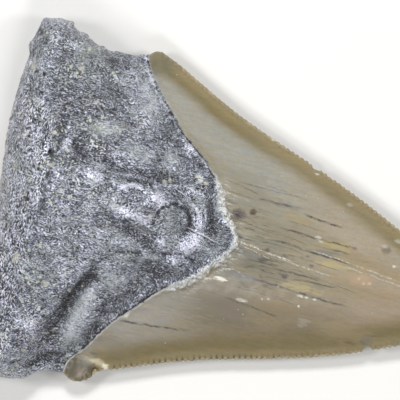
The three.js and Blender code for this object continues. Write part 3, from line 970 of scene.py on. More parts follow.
    def finish(
        self, colour: Input, roughness: Input, normal: Input | None = None, lustre: Input = 0.0
    ) -> bpy.types.Material:
        """Adds the shader and the output.

        Args:
            colour: The surface's own colour.
            roughness: How much it blurs what it reflects.
            normal: The relief's normal, if there is one.
            lustre: How much it reflects as graphite does.

        Returns:
            The finished material.
        """
        shader = self.add("ShaderNodeBsdfPrincipled")
        sockets = [shader.inputs[name] for name in ("Base Color", "Roughness", "Metallic", "Normal")]
        self.feed(sockets[:3], colour, roughness, lustre)
        if normal is not None:
            self.feed(sockets[3:], normal)
        output = self.add("ShaderNodeOutputMaterial")
        self.feed((output.inputs["Surface"],), shader.outputs[0])
        return self.material


class ToothGraph(Graph):
    """The tooth's material, with the place and the stored measures that all its finishes read."""

    def __init__(self, name: str) -> None:
        """Starts the material with the nodes that read them.

        Args:
            name: The material's name.
        """
        super().__init__(name)
        node = self.add("ShaderNodeMapping")
        middle = (-CROWN_BASE[0], -CROWN_BASE[1], 0.0)
        sockets = [node.inputs[name] for name in ("Vector", "Scale", "Location")]
        self.feed(sockets, self.add("ShaderNodeTexCoord").outputs["Object"], (1 / MM,) * 3, middle)
        self.place = node.outputs["Vector"]
        split = self.add("ShaderNodeSeparateXYZ")
        self.feed(split.inputs, self.place)
        self.x, self.y = split.outputs[0], split.outputs[1]
        self.line, self.line_run = self.attribute("line"), self.attribute("line_run")
        self.edge, self.edge_run = self.attribute("edge"), self.attribute("edge_run")
        self.across, self.inner = self.attribute("across"), self.attribute("inner")
        # hollow holds painted shade in hollows and painted highlights on bumps; tone holds the bone's tone
        # with painted highlights and painted shade
        self.hollow, self.tone = self.attribute("hollow"), self.attribute("tone")
        self.gloss, self.matte = self.attribute("gloss"), self.attribute("matte")


@dataclass(frozen=True)
class Finish:
    """What a finish gives the shader."""

    colour: Socket
    roughness: Socket
    height: Socket
    lustre: Socket | float = 0.0


@dataclass(frozen=True)
class Crack:
    """A thin crack along the crown."""

    start: Place
    end: Place
    bow: float
    width: float
    darkness: float

    def mask(self, graph: ToothGraph, wobble: Socket) -> Socket:
        """Draws the crack, which thins out over the last fifth of its length at either end.

        Args:
            graph: The material's nodes.
            wobble: A small sideways shift, in millimetres.

        Returns:
            The crack's mask.
        """
        length = self.end[0] - self.start[0]
        share = graph.math("DIVIDE", graph.math("SUBTRACT", graph.x, self.start[0]), length)
        straight = graph.math("MULTIPLY_ADD", share, self.end[1] - self.start[1], self.start[1])
        arch = graph.times(share, graph.math("SUBTRACT", 1.0, share))
        course = graph.math("MULTIPLY_ADD", arch, 4 * self.bow, straight)
        away = graph.math("ABSOLUTE", graph.plus(graph.math("SUBTRACT", graph.y, course), wobble))
        ends = graph.share(graph.away(share), *CRACK_ENDS)
        thin = graph.share(away, self.width, 0.0)
        return graph.times(graph.times(thin, ends), self.darkness)


CRACKS = (
    Crack((18.0, 7.0), (23.4, 6.9), -0.08, 0.21, 0.8),
    Crack((24.4, 6.4), (30.6, 5.7), -0.08, 0.28, 1.0),
    Crack((21.4, 3.9), (33.3, 3.4), -0.1, 0.23, 0.85),
    Crack((20.6, 2.0), (33.6, 1.0), 0.15, 0.25, 0.95),
    Crack((28.0, 2.6), (32.4, 2.5), -0.05, 0.20, 0.7),
    Crack((22.2, -1.6), (29.4, -2.0), 0.05, 0.23, 0.8),
    Crack((25.0, -2.5), (31.8, -2.3), 0.0, 0.20, 0.7),
    Crack((18.6, -3.5), (34.2, -4.5), -0.1, 0.26, 1.0),
    Crack((16.6, -7.0), (25.0, -8.1), 0.1, 0.22, 0.8),
    Crack((3.2, -13.4), (14.0, -12.5), -0.1, 0.23, 0.95),
    Crack((12.9, 8.5), (18.9, 7.4), 0.1, 0.13, 0.5),
    Crack((14.6, 8.5), (25.5, 8.3), 0.0, 0.13, 0.5),
    Crack((13.6, 7.0), (18.3, 6.7), 0.0, 0.13, 0.5),
    Crack((18.2, 9.0), (22.6, 8.6), 0.0, 0.12, 0.45),
    Crack((16.6, 0.1), (24.0, -0.9), 0.1, 0.15, 0.6),
    Crack((22.6, 5.0), (28.4, 4.6), 0.0, 0.12, 0.5),
    Crack((18.8, 3.0), (26.6, 2.5), 0.05, 0.12, 0.5),
    Crack((24.6, 0.6), (31.6, -0.1), 0.05, 0.13, 0.6),
    Crack((26.4, -1.4), (34.6, -2.5), 0.05, 0.12, 0.5),
    Crack((19.6, -5.2), (27.0, -5.9), 0.0, 0.12, 0.5),
)
CHALK_LINES = (
    Crack((15.9, 0.9), (25.6, -0.5), 0.05, 0.2, 1.0),
    Crack((22.6, -0.3), (31.0, -1.1), 0.05, 0.15, 0.8),
    Crack((17.4, 0.4), (22.4, -0.6), -0.1, 0.1, 0.8),
    Crack((26.2, 1.9), (40.4, 0.3), 0.1, 0.14, 0.8),
    Crack((31.0, 0.8), (41.0, -0.3), 0.1, 0.12, 0.8),
    Crack((12.6, -5.4), (17.4, -4.4), 0.0, 0.3, 1.0),
    Crack((15.4, -3.5), (17.5, -3.2), 0.1, 0.2, 0.9),
    Crack((11.4, -6.4), (13.8, -5.3), 0.1, 0.18, 0.7),
    Crack((13.2, 6.9), (17.6, 6.3), -0.1, 0.12, 0.6),
    Crack((15.4, -2.6), (19.6, -3.9), 0.1, 0.12, 0.6),
)


class Rim(Enum):
    """How the rim of a spot strays."""

    CRUMBLY = "crumbly"
    STREAKY = "streaky"


Rims = dict[Rim, Socket]


@dataclass(frozen=True)
class Spot:
    """A small stain or fleck."""

    at: Place
    size: Place
    colour: Colour
    strength: float
    rim: Rim = Rim.CRUMBLY

    def paint(self, graph: Graph, plan: Input, colour: Input, rims: Rims) -> Socket:
        """Paints the spot over a colour.

        Args:
            graph: The material's nodes.
            plan: The place, without its height.
            colour: The colour under it.
            rims: How far in or out each kind of rim strays, as a share of the spot's size.

        Returns:
            The colour with the spot.
        """
        away = graph.vector("DIVIDE", graph.vector("SUBTRACT", plan, (*self.at, 0.0)), (*self.size, 1.0))
        strayed = graph.plus(graph.vector("LENGTH", away), rims[self.rim])
        return graph.mix(graph.share(strayed, *SPOT_RIM, 0.0, self.strength), colour, self.colour)


@dataclass(frozen=True)
class BrokenLines:
    """How thin lines wobble, and where they are broken."""

    wobble_per_mm: tuple[float, float, float] = (0.7, 0.3, 0.2)
    wobble_roughness: float = 0.65
    wobble: float = 0.64
    gaps_per_mm: tuple[float, float, float] = (0.8, 2.4, 1.0)
    gap_roughness: float = 0.7
    gaps: Limits = (0.37, 0.57, 0.24, 1.0)
    detail: float = 5.0

    def mask(self, graph: ToothGraph, lines: tuple[Crack, ...], seed: float) -> Socket:
        """Draws several broken lines on the inner face.

        Args:
            graph: The material's nodes.
            lines: The lines.
            seed: Any number, which picks where they are broken.

        Returns:
            Their mask.
        """
        waves = Texture(self.wobble_per_mm, self.detail, self.wobble_roughness, shift=seed)
        wobble = graph.stray(graph.noise(graph.place, waves), self.wobble)
        mask: Socket | float = 0.0
        for line in lines:
            mask = graph.math("MAXIMUM", mask, line.mask(graph, wobble))
        waves = Texture(self.gaps_per_mm, self.detail, self.gap_roughness, shift=seed)
        broken = graph.share(graph.noise(graph.place, waves), *self.gaps)
        return graph.times(graph.times(mask, broken), graph.inner)


@dataclass(frozen=True)
class SpotRims:
    """How the rims of the spots stray, as a share of a spot's size."""

    crumbs: Texture = Texture(2.2, 4.0, 0.65)
    crumbly: float = 1.6
    streaks: Texture = Texture((0.5, 2.6, 1.0), 3.0, 0.6, STREAK_TURN)
    streaky: float = 3.2

    def of(self, graph: ToothGraph) -> Rims:
        """Makes the noise that each kind of rim strays by.

        Args:
            graph: The material's nodes.

        Returns:
            The noise for each kind of rim.
        """
        crumbs = graph.noise(graph.place, self.crumbs)
        streaks = graph.noise(graph.place, self.streaks)
        return {
            Rim.CRUMBLY: graph.stray(crumbs, self.crumbly),
            Rim.STREAKY: graph.stray(streaks, self.streaky),
        }


CHALK = tint(196, 192, 178)
CREAM = tint(194, 192, 174)
BUBBLE = tint(180, 160, 134)
# painted shade inside the foramina and pits
PIT_SHADE = tint(10, 9, 12)
PURPLE = tint(74, 62, 62)
STEEL = tint(100, 101, 100)
YELLOW = tint(158, 145, 102)

SPOTS = (
    Spot((16.3, 4.3), (1.0, 0.85), PURPLE, 0.9),
    Spot((16.2, 4.2), (0.35, 0.3), tint(50, 42, 46), 0.9),
    Spot((18.1, 5.0), (0.5, 0.48), tint(70, 54, 44), 0.95),
    Spot((21.1, 0.5), (0.4, 0.3), PURPLE, 0.7),
    Spot((24.2, -2.5), (0.5, 0.32), PURPLE, 0.75),
    Spot((23.6, 0.2), (0.4, 0.3), PURPLE, 0.5),
    Spot((27.4, -0.2), (0.35, 0.25), PURPLE, 0.6),
    Spot((32.6, 3.4), (0.35, 0.25), tint(104, 84, 96), 0.6),
    Spot((26.6, 0.9), (0.3, 0.2), PURPLE, 0.5),
    Spot((19.3, -0.8), (2.6, 0.8), STEEL, 0.55, Rim.STREAKY),
    Spot((18.4, -3.8), (2.4, 0.6), STEEL, 0.6, Rim.STREAKY),
    Spot((29.0, 1.8), (2.2, 0.45), STEEL, 0.6, Rim.STREAKY),
    Spot((22.0, 6.9), (2.8, 0.5), STEEL, 0.4, Rim.STREAKY),
    Spot((30.1, 3.2), (2.0, 0.6), YELLOW, 0.6, Rim.STREAKY),
    Spot((30.4, 0.5), (2.2, 0.6), YELLOW, 0.65, Rim.STREAKY),
    Spot((26.6, -3.4), (2.4, 0.7), YELLOW, 0.7, Rim.STREAKY),
    Spot((24.2, 5.6), (2.4, 0.5), YELLOW, 0.25, Rim.STREAKY),
    Spot((17.6, 6.8), (3.4, 1.7), tint(122, 119, 107), 0.5, Rim.STREAKY),
    Spot((15.4, 9.3), (3.6, 1.2), tint(126, 123, 110), 0.5, Rim.STREAKY),
    Spot((24.4, -6.4), (3.6, 1.6), tint(126, 110, 80), 0.5, Rim.STREAKY),
    Spot((16.6, -6.6), (4.2, 2.0), tint(108, 100, 84), 0.5),
    Spot((3.6, -17.0), (2.6, 1.2), tint(112, 106, 92), 0.5, Rim.STREAKY),
    Spot((34.3, -0.5), (1.8, 0.9), tint(160, 134, 104), 0.5),
    Spot((19.3, -6.9), (0.8, 0.26), tint(205, 200, 185), 0.9),
    Spot((16.0, -4.75), (0.8, 0.3), tint(214, 212, 202), 0.95, Rim.STREAKY),
    Spot((4.6, -12.4), (0.6, 0.45), tint(206, 202, 190), 0.8),
    Spot((34.6, -8.9), (1.4, 0.6), tint(96, 78, 52), 0.7),
    # painted shade in the notch of the lower edge
    Spot((37.0, -8.2), (0.9, 0.9), tint(70, 84, 84), 0.75),
    Spot((18.1, -8.3), (2.2, 1.6), tint(108, 94, 84), 0.4),
    Spot((16.3, -8.5), (5.4, 2.5), tint(108, 101, 86), 0.75, Rim.STREAKY),
    Spot((10.2, -9.2), (3.4, 1.5), tint(126, 122, 110), 0.6, Rim.STREAKY),
    Spot((0.8, 21.7), (3.2, 2.2), tint(98, 96, 80), 0.6),
    Spot((34.7, -8.0), (5.0, 1.2), tint(136, 122, 90), 0.6, Rim.STREAKY),
    Spot((28.2, -7.8), (0.8, 0.7), tint(150, 144, 132), 0.5, Rim.STREAKY),
    Spot((27.4, 3.7), (0.45, 0.3), CHALK, 0.6),
    Spot((27.9, 3.3), (0.3, 0.2), CHALK, 0.5),
    Spot((23.7, -3.9), (0.2, 0.15), CHALK, 0.9),
    Spot((26.9, -4.5), (0.5, 0.2), CHALK, 0.9),
    Spot((27.7, -4.5), (0.3, 0.18), CHALK, 0.8),
    Spot((28.9, -4.5), (0.35, 0.16), CHALK, 0.8),
    Spot((27.0, -5.9), (0.18, 0.18), CHALK, 0.9),
    Spot((22.0, -6.1), (0.18, 0.14), CHALK, 0.6),
    Spot((22.8, -5.9), (0.18, 0.14), CHALK, 0.6),
    Spot((34.0, -0.4), (0.22, 0.2), BUBBLE, 0.6),
    Spot((34.8, -0.9), (0.2, 0.24), BUBBLE, 0.6),
    Spot((35.6, -0.7), (0.24, 0.2), BUBBLE, 0.6),
    Spot((30.6, 9.0), (0.45, 0.3), CHALK, 0.3),
    Spot((36.8, 4.2), (0.7, 0.6), tint(96, 88, 70), 0.6),
    Spot((36.5, 4.6), (0.45, 0.3), CHALK, 0.35),
    Spot((38.1, 5.7), (0.5, 0.3), CHALK, 0.4),
    Spot((38.3, 2.3), (0.3, 0.22), CHALK, 0.9),
    Spot((18.6, 15.1), (0.3, 0.15), CHALK, 0.7),
    Spot((25.4, 12.0), (0.4, 0.16), CHALK, 0.85),
    Spot((0.0, -21.2), (2.8, 1.8), tint(78, 75, 67), 0.85),
    Spot((0.6, -21.4), (1.0, 0.6), tint(112, 92, 72), 0.6),
    # a painted shadow in the heel's small hole
    Spot((2.1, -19.8), (0.6, 0.35), tint(66, 60, 52), 0.8),
    Spot((2.5, -19.6), (1.1, 0.5), tint(186, 176, 148), 0.75),
    Spot((3.6, -20.0), (0.55, 0.4), tint(224, 216, 192), 0.9),
    # a painted shadow beside the heel's chip
    Spot((1.9, -20.9), (1.0, 0.5), tint(84, 80, 66), 0.8),
    Spot((1.7, -18.6), (0.5, 0.16), tint(84, 82, 80), 0.8),
)
ROOT_CRACKS = (
    Crack((1.0, 1.4), (9.6, 0.5), -0.1, 0.13, 0.7),
    Crack((8.8, 0.95), (14.8, -0.5), 0.1, 0.14, 0.9),
    Crack((10.4, 0.6), (13.6, 0.1), 0.0, 0.11, 0.7),
)
# Painted highlights along the crests of the bone's wrinkles, drawn in the glint colour
ROOT_WRINKLE_HIGHLIGHTS = (
    Crack((9.0, 1.12), (15.0, -0.34), 0.1, 0.1, 0.7),
    Crack((10.6, 0.76), (13.4, 0.26), 0.0, 0.09, 0.6),
    Crack((2.8, 1.25), (6.4, 0.85), 0.1, 0.11, 0.5),
)
ROOT_SPOTS = (
    Spot((-10.1, 6.6), (0.42, 0.36), PIT_SHADE, 1.0),
    Spot((-10.1, 6.6), (0.34, 0.26), PIT_SHADE, 1.0),
    Spot((-13.4, 16.4), (0.34, 0.3), PIT_SHADE, 0.95),
    Spot((-11.4, 7.4), (0.2, 0.24), PIT_SHADE, 0.8),
    Spot((-14.6, 16.5), (0.28, 0.24), PIT_SHADE, 0.8),
    Spot((-4.8, 20.4), (0.9, 0.5), PIT_SHADE, 0.7),
    Spot((-10.2, 9.1), (0.42, 0.34), CREAM, 0.65),
    Spot((-9.6, 4.8), (0.42, 0.3), CREAM, 0.65),
    Spot((-15.1, 17.1), (0.4, 0.6), CREAM, 0.6),
    Spot((-8.8, 18.3), (0.5, 0.35), CREAM, 0.6),
    Spot((5.6, 6.2), (0.35, 0.3), CREAM, 0.7),
    Spot((6.3, 6.5), (0.3, 0.25), CREAM, 0.7),
    Spot((-11.3, -8.3), (0.5, 0.7), CREAM, 0.5),
    Spot((-6.7, -10.8), (0.5, 0.5), CREAM, 0.6),
    Spot((-5.8, 14.4), (0.4, 0.3), CREAM, 0.5),
    Spot((-4.6, 11.1), (1.3, 0.9), tint(168, 172, 164), 0.35),
    Spot((-2.2, 11.5), (0.9, 0.8), tint(168, 172, 164), 0.35),
    Spot((9.8, 7.9), (0.4, 0.24), CREAM, 0.8),
    Spot((10.3, 7.4), (0.36, 0.24), CREAM, 0.8),
    Spot((11.0, 7.3), (0.4, 0.28), CREAM, 0.75),
)


def paint_spots(graph: ToothGraph, plan: Input, colour: Input, spots: tuple[Spot, ...]) -> Socket:
    """Paints spots over a colour.

    Args:
        graph: The material's nodes.
        plan: The place, without its height.
        colour: The colour under them.
        spots: The spots.

    Returns:
        The colour with the spots.
    """
    rims = SpotRims().of(graph)
    for spot in spots:
        colour = spot.paint(graph, plan, colour, rims)
    return colour


@dataclass(frozen=True)
class EnamelFinish:
    """Softly shining, finely streaked enamel with olive bands along the cutting edges."""

    beige: Colour = tint(141, 135, 119)
    # grey and rosy make the painted sheen on the upper flank
    grey: Colour = tint(147, 145, 136)
    rosy: Colour = tint(153, 143, 126)
    pink: Colour = tint(140, 125, 103)
    # painted shade on the crown's lower flank
    lower_shade: Colour = tint(123, 111, 90)
    ashen: Colour = tint(144, 139, 130)
    hazy: Colour = tint(166, 164, 160)
    olive: Colour = tint(115, 103, 70)
    golden: Colour = tint(126, 115, 86)
    tan: Colour = tint(138, 124, 91)
    rim: Colour = tint(160, 150, 124)
    shade: Colour = tint(100, 97, 85)
    crack: Colour = tint(52, 48, 45)
    groove: Colour = tint(78, 68, 44)
    warm: Colour = tint(255, 251, 242)
    cool: Colour = tint(249, 252, 255)

    streaks: Texture = Texture((0.16, 1.6, 0.3), 5.0, 0.65, STREAK_TURN)
    fine_streaks: Texture = Texture((0.8, 3.4, 1.0), 4.0, 0.7, STREAK_TURN)
    clouds: Texture = Texture((0.14, 0.3, 0.3), 4.0, 0.55)
    grit: Texture = Texture(2.6, 3.0, 0.7)
    hues: Texture = Texture((0.45, 1.8, 0.8), 4.0, 0.65, STREAK_TURN)
    beads: Texture = Texture(1.6, 3.0, 0.7)
    tick_wear: Texture = Texture(0.7, 2.0)
    fissure_courses: Texture = Texture((0.12, 1.5, 0.3), 3.0, 0.55, STREAK_TURN)
    fissure_patches: Texture = Texture((0.4, 1.1, 0.5))
    chalk_dust: Texture = Texture(3.6, 3.0, 0.7)
    polish: Texture = Texture(0.8)
    white_specks: Specks = Specks(1.3, 0.1, 0.93)

    pink_x: Limits = (20.0, 38.0)
    # where the painted sheen on the upper flank lies
    pale_across: Limits = (0.25, 0.5)
    pale_edge: Limits = (7.8, 5.2)
    pale_x: Limits = (46.0, 38.0)
    rosy_x: Limits = (18.0, 30.0)
    # where the painted shade on the lower flank lies
    dim_across: Limits = (0.0, -0.3)
    dim_x: Limits = (38.0, 28.0)
    ashen_stray: float = 8.0
    ashen_across: Limits = (-0.2, -0.5)
    ashen_x: Limits = (22.0, 12.0)
    haze_line: Limits = (3.2, 0.2, 0.0, 0.45)
    haze_below: Limits = (-0.45, -0.15)
    haze_above: Limits = (0.6, 0.4)
    haze_streaks: Limits = (0.35, 0.6, 0.4, 1.0)
    shade_streaks: Limits = (0.35, 0.62, 0.25, 0.9)
    tan_clouds: Limits = (0.35, 0.7, 0.0, 0.35)
    tan_off_pale: Limits = (1.0, 0.0, 0.3, 1.0)
    streaks_in_mottle: float = 0.3
    fine_in_mottle: float = 0.35
    grit_in_mottle: float = 0.2
    mottle: Limits = (0.24, 0.6, 0.83, 1.13)
    cool_hues: Limits = (0.38, 0.62)

    band_stray: float = 1.6
    upper_side: Limits = (-0.1, 0.1)
    lower_band: Limits = (4.4, 1.9)
    upper_band: Limits = (3.3, 1.6)
    golden_x: Limits = (12.0, 20.0, 0.3, 1.0)
    tan_band: Limits = (1.8, 0.6, 0.0, 0.75)
    bead_limits: Limits = (0.4, 0.6, 0.2, 1.0)
    rim_edge: Limits = (0.45, 0.15)

    tick_width: Limits = (0.2, 1.0)
    tick_reach: Limits = (0.95, 0.25)
    tick_patches: Limits = (0.38, 0.55, 0.25, 1.0)
    lower_tick_x: Limits = (34.0, 20.0, 0.3, 1.0)
    lower_side: Limits = (0.1, -0.1)
    upper_ticks: float = 0.25
    tick_line: Limits = (1.6, 3.5)
    tick_strength: float = 0.85

    apex_line: Limits = (16.0, 2.0)
    apex_above: Limits = (0.5, 0.2)
    apex_below: Limits = (-0.55, -0.2)
    fissure_width: Limits = (0.035, 0.005)
    fissure_limits: Limits = (0.44, 0.58)
    fissure_strength: float = 0.75
    dust_limits: Limits = (0.42, 0.58, 0.1, 1.0)
    crack_seed: float = 0.0
    chalk_seed: float = 31.0
    roughness: Limits = (0.3, 0.7, 0.36, 0.48)

    def make(self, graph: ToothGraph) -> Finish:
        """Builds the finish.

        Args:
            graph: The material's nodes.

        Returns:
            The finish.
        """
        apex = self.by_apex(graph)
        colour = self.colours(graph, apex)
        flat = graph.flat(graph.place)
        colour = graph.mix(graph.inner, colour, paint_spots(graph, flat, colour, SPOTS))
        colour = self.lined(graph, colour, apex)
        ticks = self.ticks(graph)
        colour = graph.mix(graph.times(ticks, self.tick_strength), colour, self.groove)
        specks = graph.specks(flat, self.white_specks)
        colour = graph.mix(graph.times(specks, graph.inner), colour, CHALK)
        height = graph.times(ticks, -1.0)
        roughness = graph.share(graph.noise(graph.place, self.polish), *self.roughness)
        return Finish(colour, roughness, height)

    def by_apex(self, graph: ToothGraph) -> Socket:
        """Tells the crown beside the root's apex from the rest.

        Args:
            graph: The material's nodes.

        Returns:
            1 beside the apex, 0 elsewhere.
        """
        above = graph.share(graph.line, *self.apex_line), graph.share(graph.across, *self.apex_above)
        near = graph.times(graph.times(*above), graph.share(graph.across, *self.apex_below))
        return graph.times(near, graph.inner)

    def colours(self, graph: ToothGraph, apex: Socket) -> Socket:
        """Paints the crown's zones, bands and streaks, with a painted sheen on the upper flank and painted
        shade on the lower one.

        Args:
            graph: The material's nodes.
            apex: How much a place is beside the root's apex.

        Returns:
            The colour.
        """
        streaks = graph.noise(graph.place, self.streaks)
        fine = graph.noise(graph.place, self.fine_streaks)
        clouds = graph.noise(graph.place, self.clouds)
        colour = graph.mix(graph.share(graph.x, *self.pink_x), self.beige, self.pink)
        # painted sheen: the upper flank paler and greyer
        upper = graph.share(graph.across, *self.pale_across)
        upper = graph.times(upper, graph.share(graph.edge, *self.pale_edge))
        pale = graph.mix(graph.share(graph.x, *self.rosy_x), self.grey, self.rosy)
        colour = graph.mix(graph.times(upper, graph.share(graph.x, *self.pale_x)), colour, pale)
        # painted shade: the lower flank darker
        lower = graph.times(graph.share(graph.across, *self.dim_across), graph.share(graph.x, *self.dim_x))
        colour = graph.mix(lower, colour, self.lower_shade)
        colour = self.hazed(graph, colour, streaks, fine)
        colour = graph.mix(graph.times(apex, graph.share(streaks, *self.shade_streaks)), colour, self.shade)
        tanned = graph.times(graph.share(clouds, *self.tan_clouds), graph.share(upper, *self.tan_off_pale))
        colour = graph.mix(tanned, colour, self.tan)
        colour = self.banded(graph, colour, clouds)
        return self.mottled(graph, colour, streaks, fine)

    def hazed(self, graph: ToothGraph, colour: Input, streaks: Input, fine: Input) -> Socket:
        """Lays the ashen lower corner and the haze beside the root over a colour.

        Args:
            graph: The material's nodes.
            colour: The colour under them.
            streaks: The noise of the broad streaks.
            fine: The noise of the fine streaks.

        Returns:
            The colour with both.
        """
        stray = graph.math("MULTIPLY_ADD", streaks, self.ashen_stray, graph.x)
        corner = graph.share(graph.across, *self.ashen_across)
        corner = graph.times(corner, graph.share(stray, *self.ashen_x))
        colour = graph.mix(corner, colour, self.ashen)
        haze = graph.share(graph.line, *self.haze_line)
        haze = graph.times(haze, graph.share(graph.across, *self.haze_below))
        haze = graph.times(haze, graph.share(graph.across, *self.haze_above))
        return graph.mix(graph.times(haze, graph.share(fine, *self.haze_streaks)), colour, self.hazy)

    def banded(self, graph: ToothGraph, colour: Input, clouds: Input) -> Socket:
        """Lays the olive bands and the light rim along the cutting edges over a colour.

        Args:
            graph: The material's nodes.
            colour: The colour under them.
            clouds: The noise that the bands' sides stray by.

        Returns:
            The colour with the bands.
        """
        shift = graph.stray(clouds, self.band_stray)
        edge = graph.plus(graph.edge, shift)
        is_upper = graph.share(graph.across, *self.upper_side)
        lower, upper = graph.share(edge, *self.lower_band), graph.share(edge, *self.upper_band)
        inside = graph.blend(is_upper, lower, upper)
        golden = graph.times(is_upper, graph.share(graph.x, *self.golden_x))
        colour = graph.mix(inside, colour, graph.mix(golden, self.olive, self.golden))
        colour = graph.mix(graph.share(edge, *self.tan_band), colour, self.tan)
        beads = graph.share(graph.noise(graph.place, self.beads), *self.bead_limits)
        return graph.mix(graph.times(graph.share(graph.edge, *self.rim_edge), beads), colour, self.rim)

    def mottled(self, graph: ToothGraph, colour: Input, streaks: Input, fine: Input) -> Socket:
        """Varies a colour's brightness and hue from streak to streak.

        Args:
            graph: The material's nodes.
            colour: The colour.
            streaks: The noise of the broad streaks.
            fine: The noise of the fine streaks.

        Returns:
            The varied colour.
        """
        grit = graph.noise(graph.place, self.grit)
        value = graph.times(streaks, self.streaks_in_mottle)
        value = graph.plus(value, graph.times(fine, self.fine_in_mottle))
        value = graph.math("MULTIPLY_ADD", grit, self.grit_in_mottle, value)
        colour = graph.tinted(colour, graph.grey(graph.share(value, *self.mottle)))
        hue = graph.noise(graph.place, self.hues)
        return graph.tinted(colour, graph.mix(graph.share(hue, *self.cool_hues), self.warm, self.cool))

    def lined(self, graph: ToothGraph, colour: Input, apex: Socket) -> Socket:
        """Draws the cracks, the fissures and the chalk lines over a colour.

        Args:
            graph: The material's nodes.
            colour: The colour under them.
            apex: How much a place is beside the root's apex.

        Returns:
            The colour with the lines.
        """
        cracks = BrokenLines().mask(graph, CRACKS, self.crack_seed)
        fissures = graph.times(self.fissures(graph, apex), self.fissure_strength)
        colour = graph.mix(graph.math("MAXIMUM", cracks, fissures), colour, self.crack)
        chalk = BrokenLines().mask(graph, CHALK_LINES, self.chalk_seed)
        dust = graph.share(graph.noise(graph.place, self.chalk_dust), *self.dust_limits)
        return graph.mix(graph.times(chalk, dust), colour, CHALK)

    def fissures(self, graph: ToothGraph, apex: Socket) -> Socket:
        """Draws many fine broken fissures beside the root's apex.

        Args:
            graph: The material's nodes.
            apex: How much a place is beside the root's apex.

        Returns:
            The fissures' mask.
        """
        course = graph.noise(graph.place, self.fissure_courses)
        thin = graph.share(graph.away(course), *self.fissure_width)
        patchy = graph.noise(graph.place, self.fissure_patches)
        return graph.times(graph.times(thin, graph.share(patchy, *self.fissure_limits)), apex)

    def ticks(self, graph: ToothGraph) -> Socket:
        """Draws the fine grooves between the serrations.

        Args:
            graph: The material's nodes.

        Returns:
            The grooves' mask.
        """
        turn = graph.math("COSINE", graph.times(graph.edge_run, 2 * math.pi))
        groove = graph.share(turn, *self.tick_width)
        reach = graph.share(graph.edge, *self.tick_reach)
        uneven = graph.share(graph.noise(graph.place, self.tick_wear), *self.tick_patches)
        lower = graph.share(graph.x, *self.lower_tick_x)
        side = graph.blend(graph.share(graph.across, *self.lower_side), self.upper_ticks, lower)
        clear = graph.times(graph.share(graph.line, *self.tick_line), graph.times(uneven, side))
        return graph.times(groove, graph.times(reach, clear))


@dataclass(frozen=True)
class GrainParts:
    """How strong each part of the bone's grain is, and how far it is lowered to lie around a half."""

    dome: float
    own: float
    crests: float
    fine: float
    lowered: float


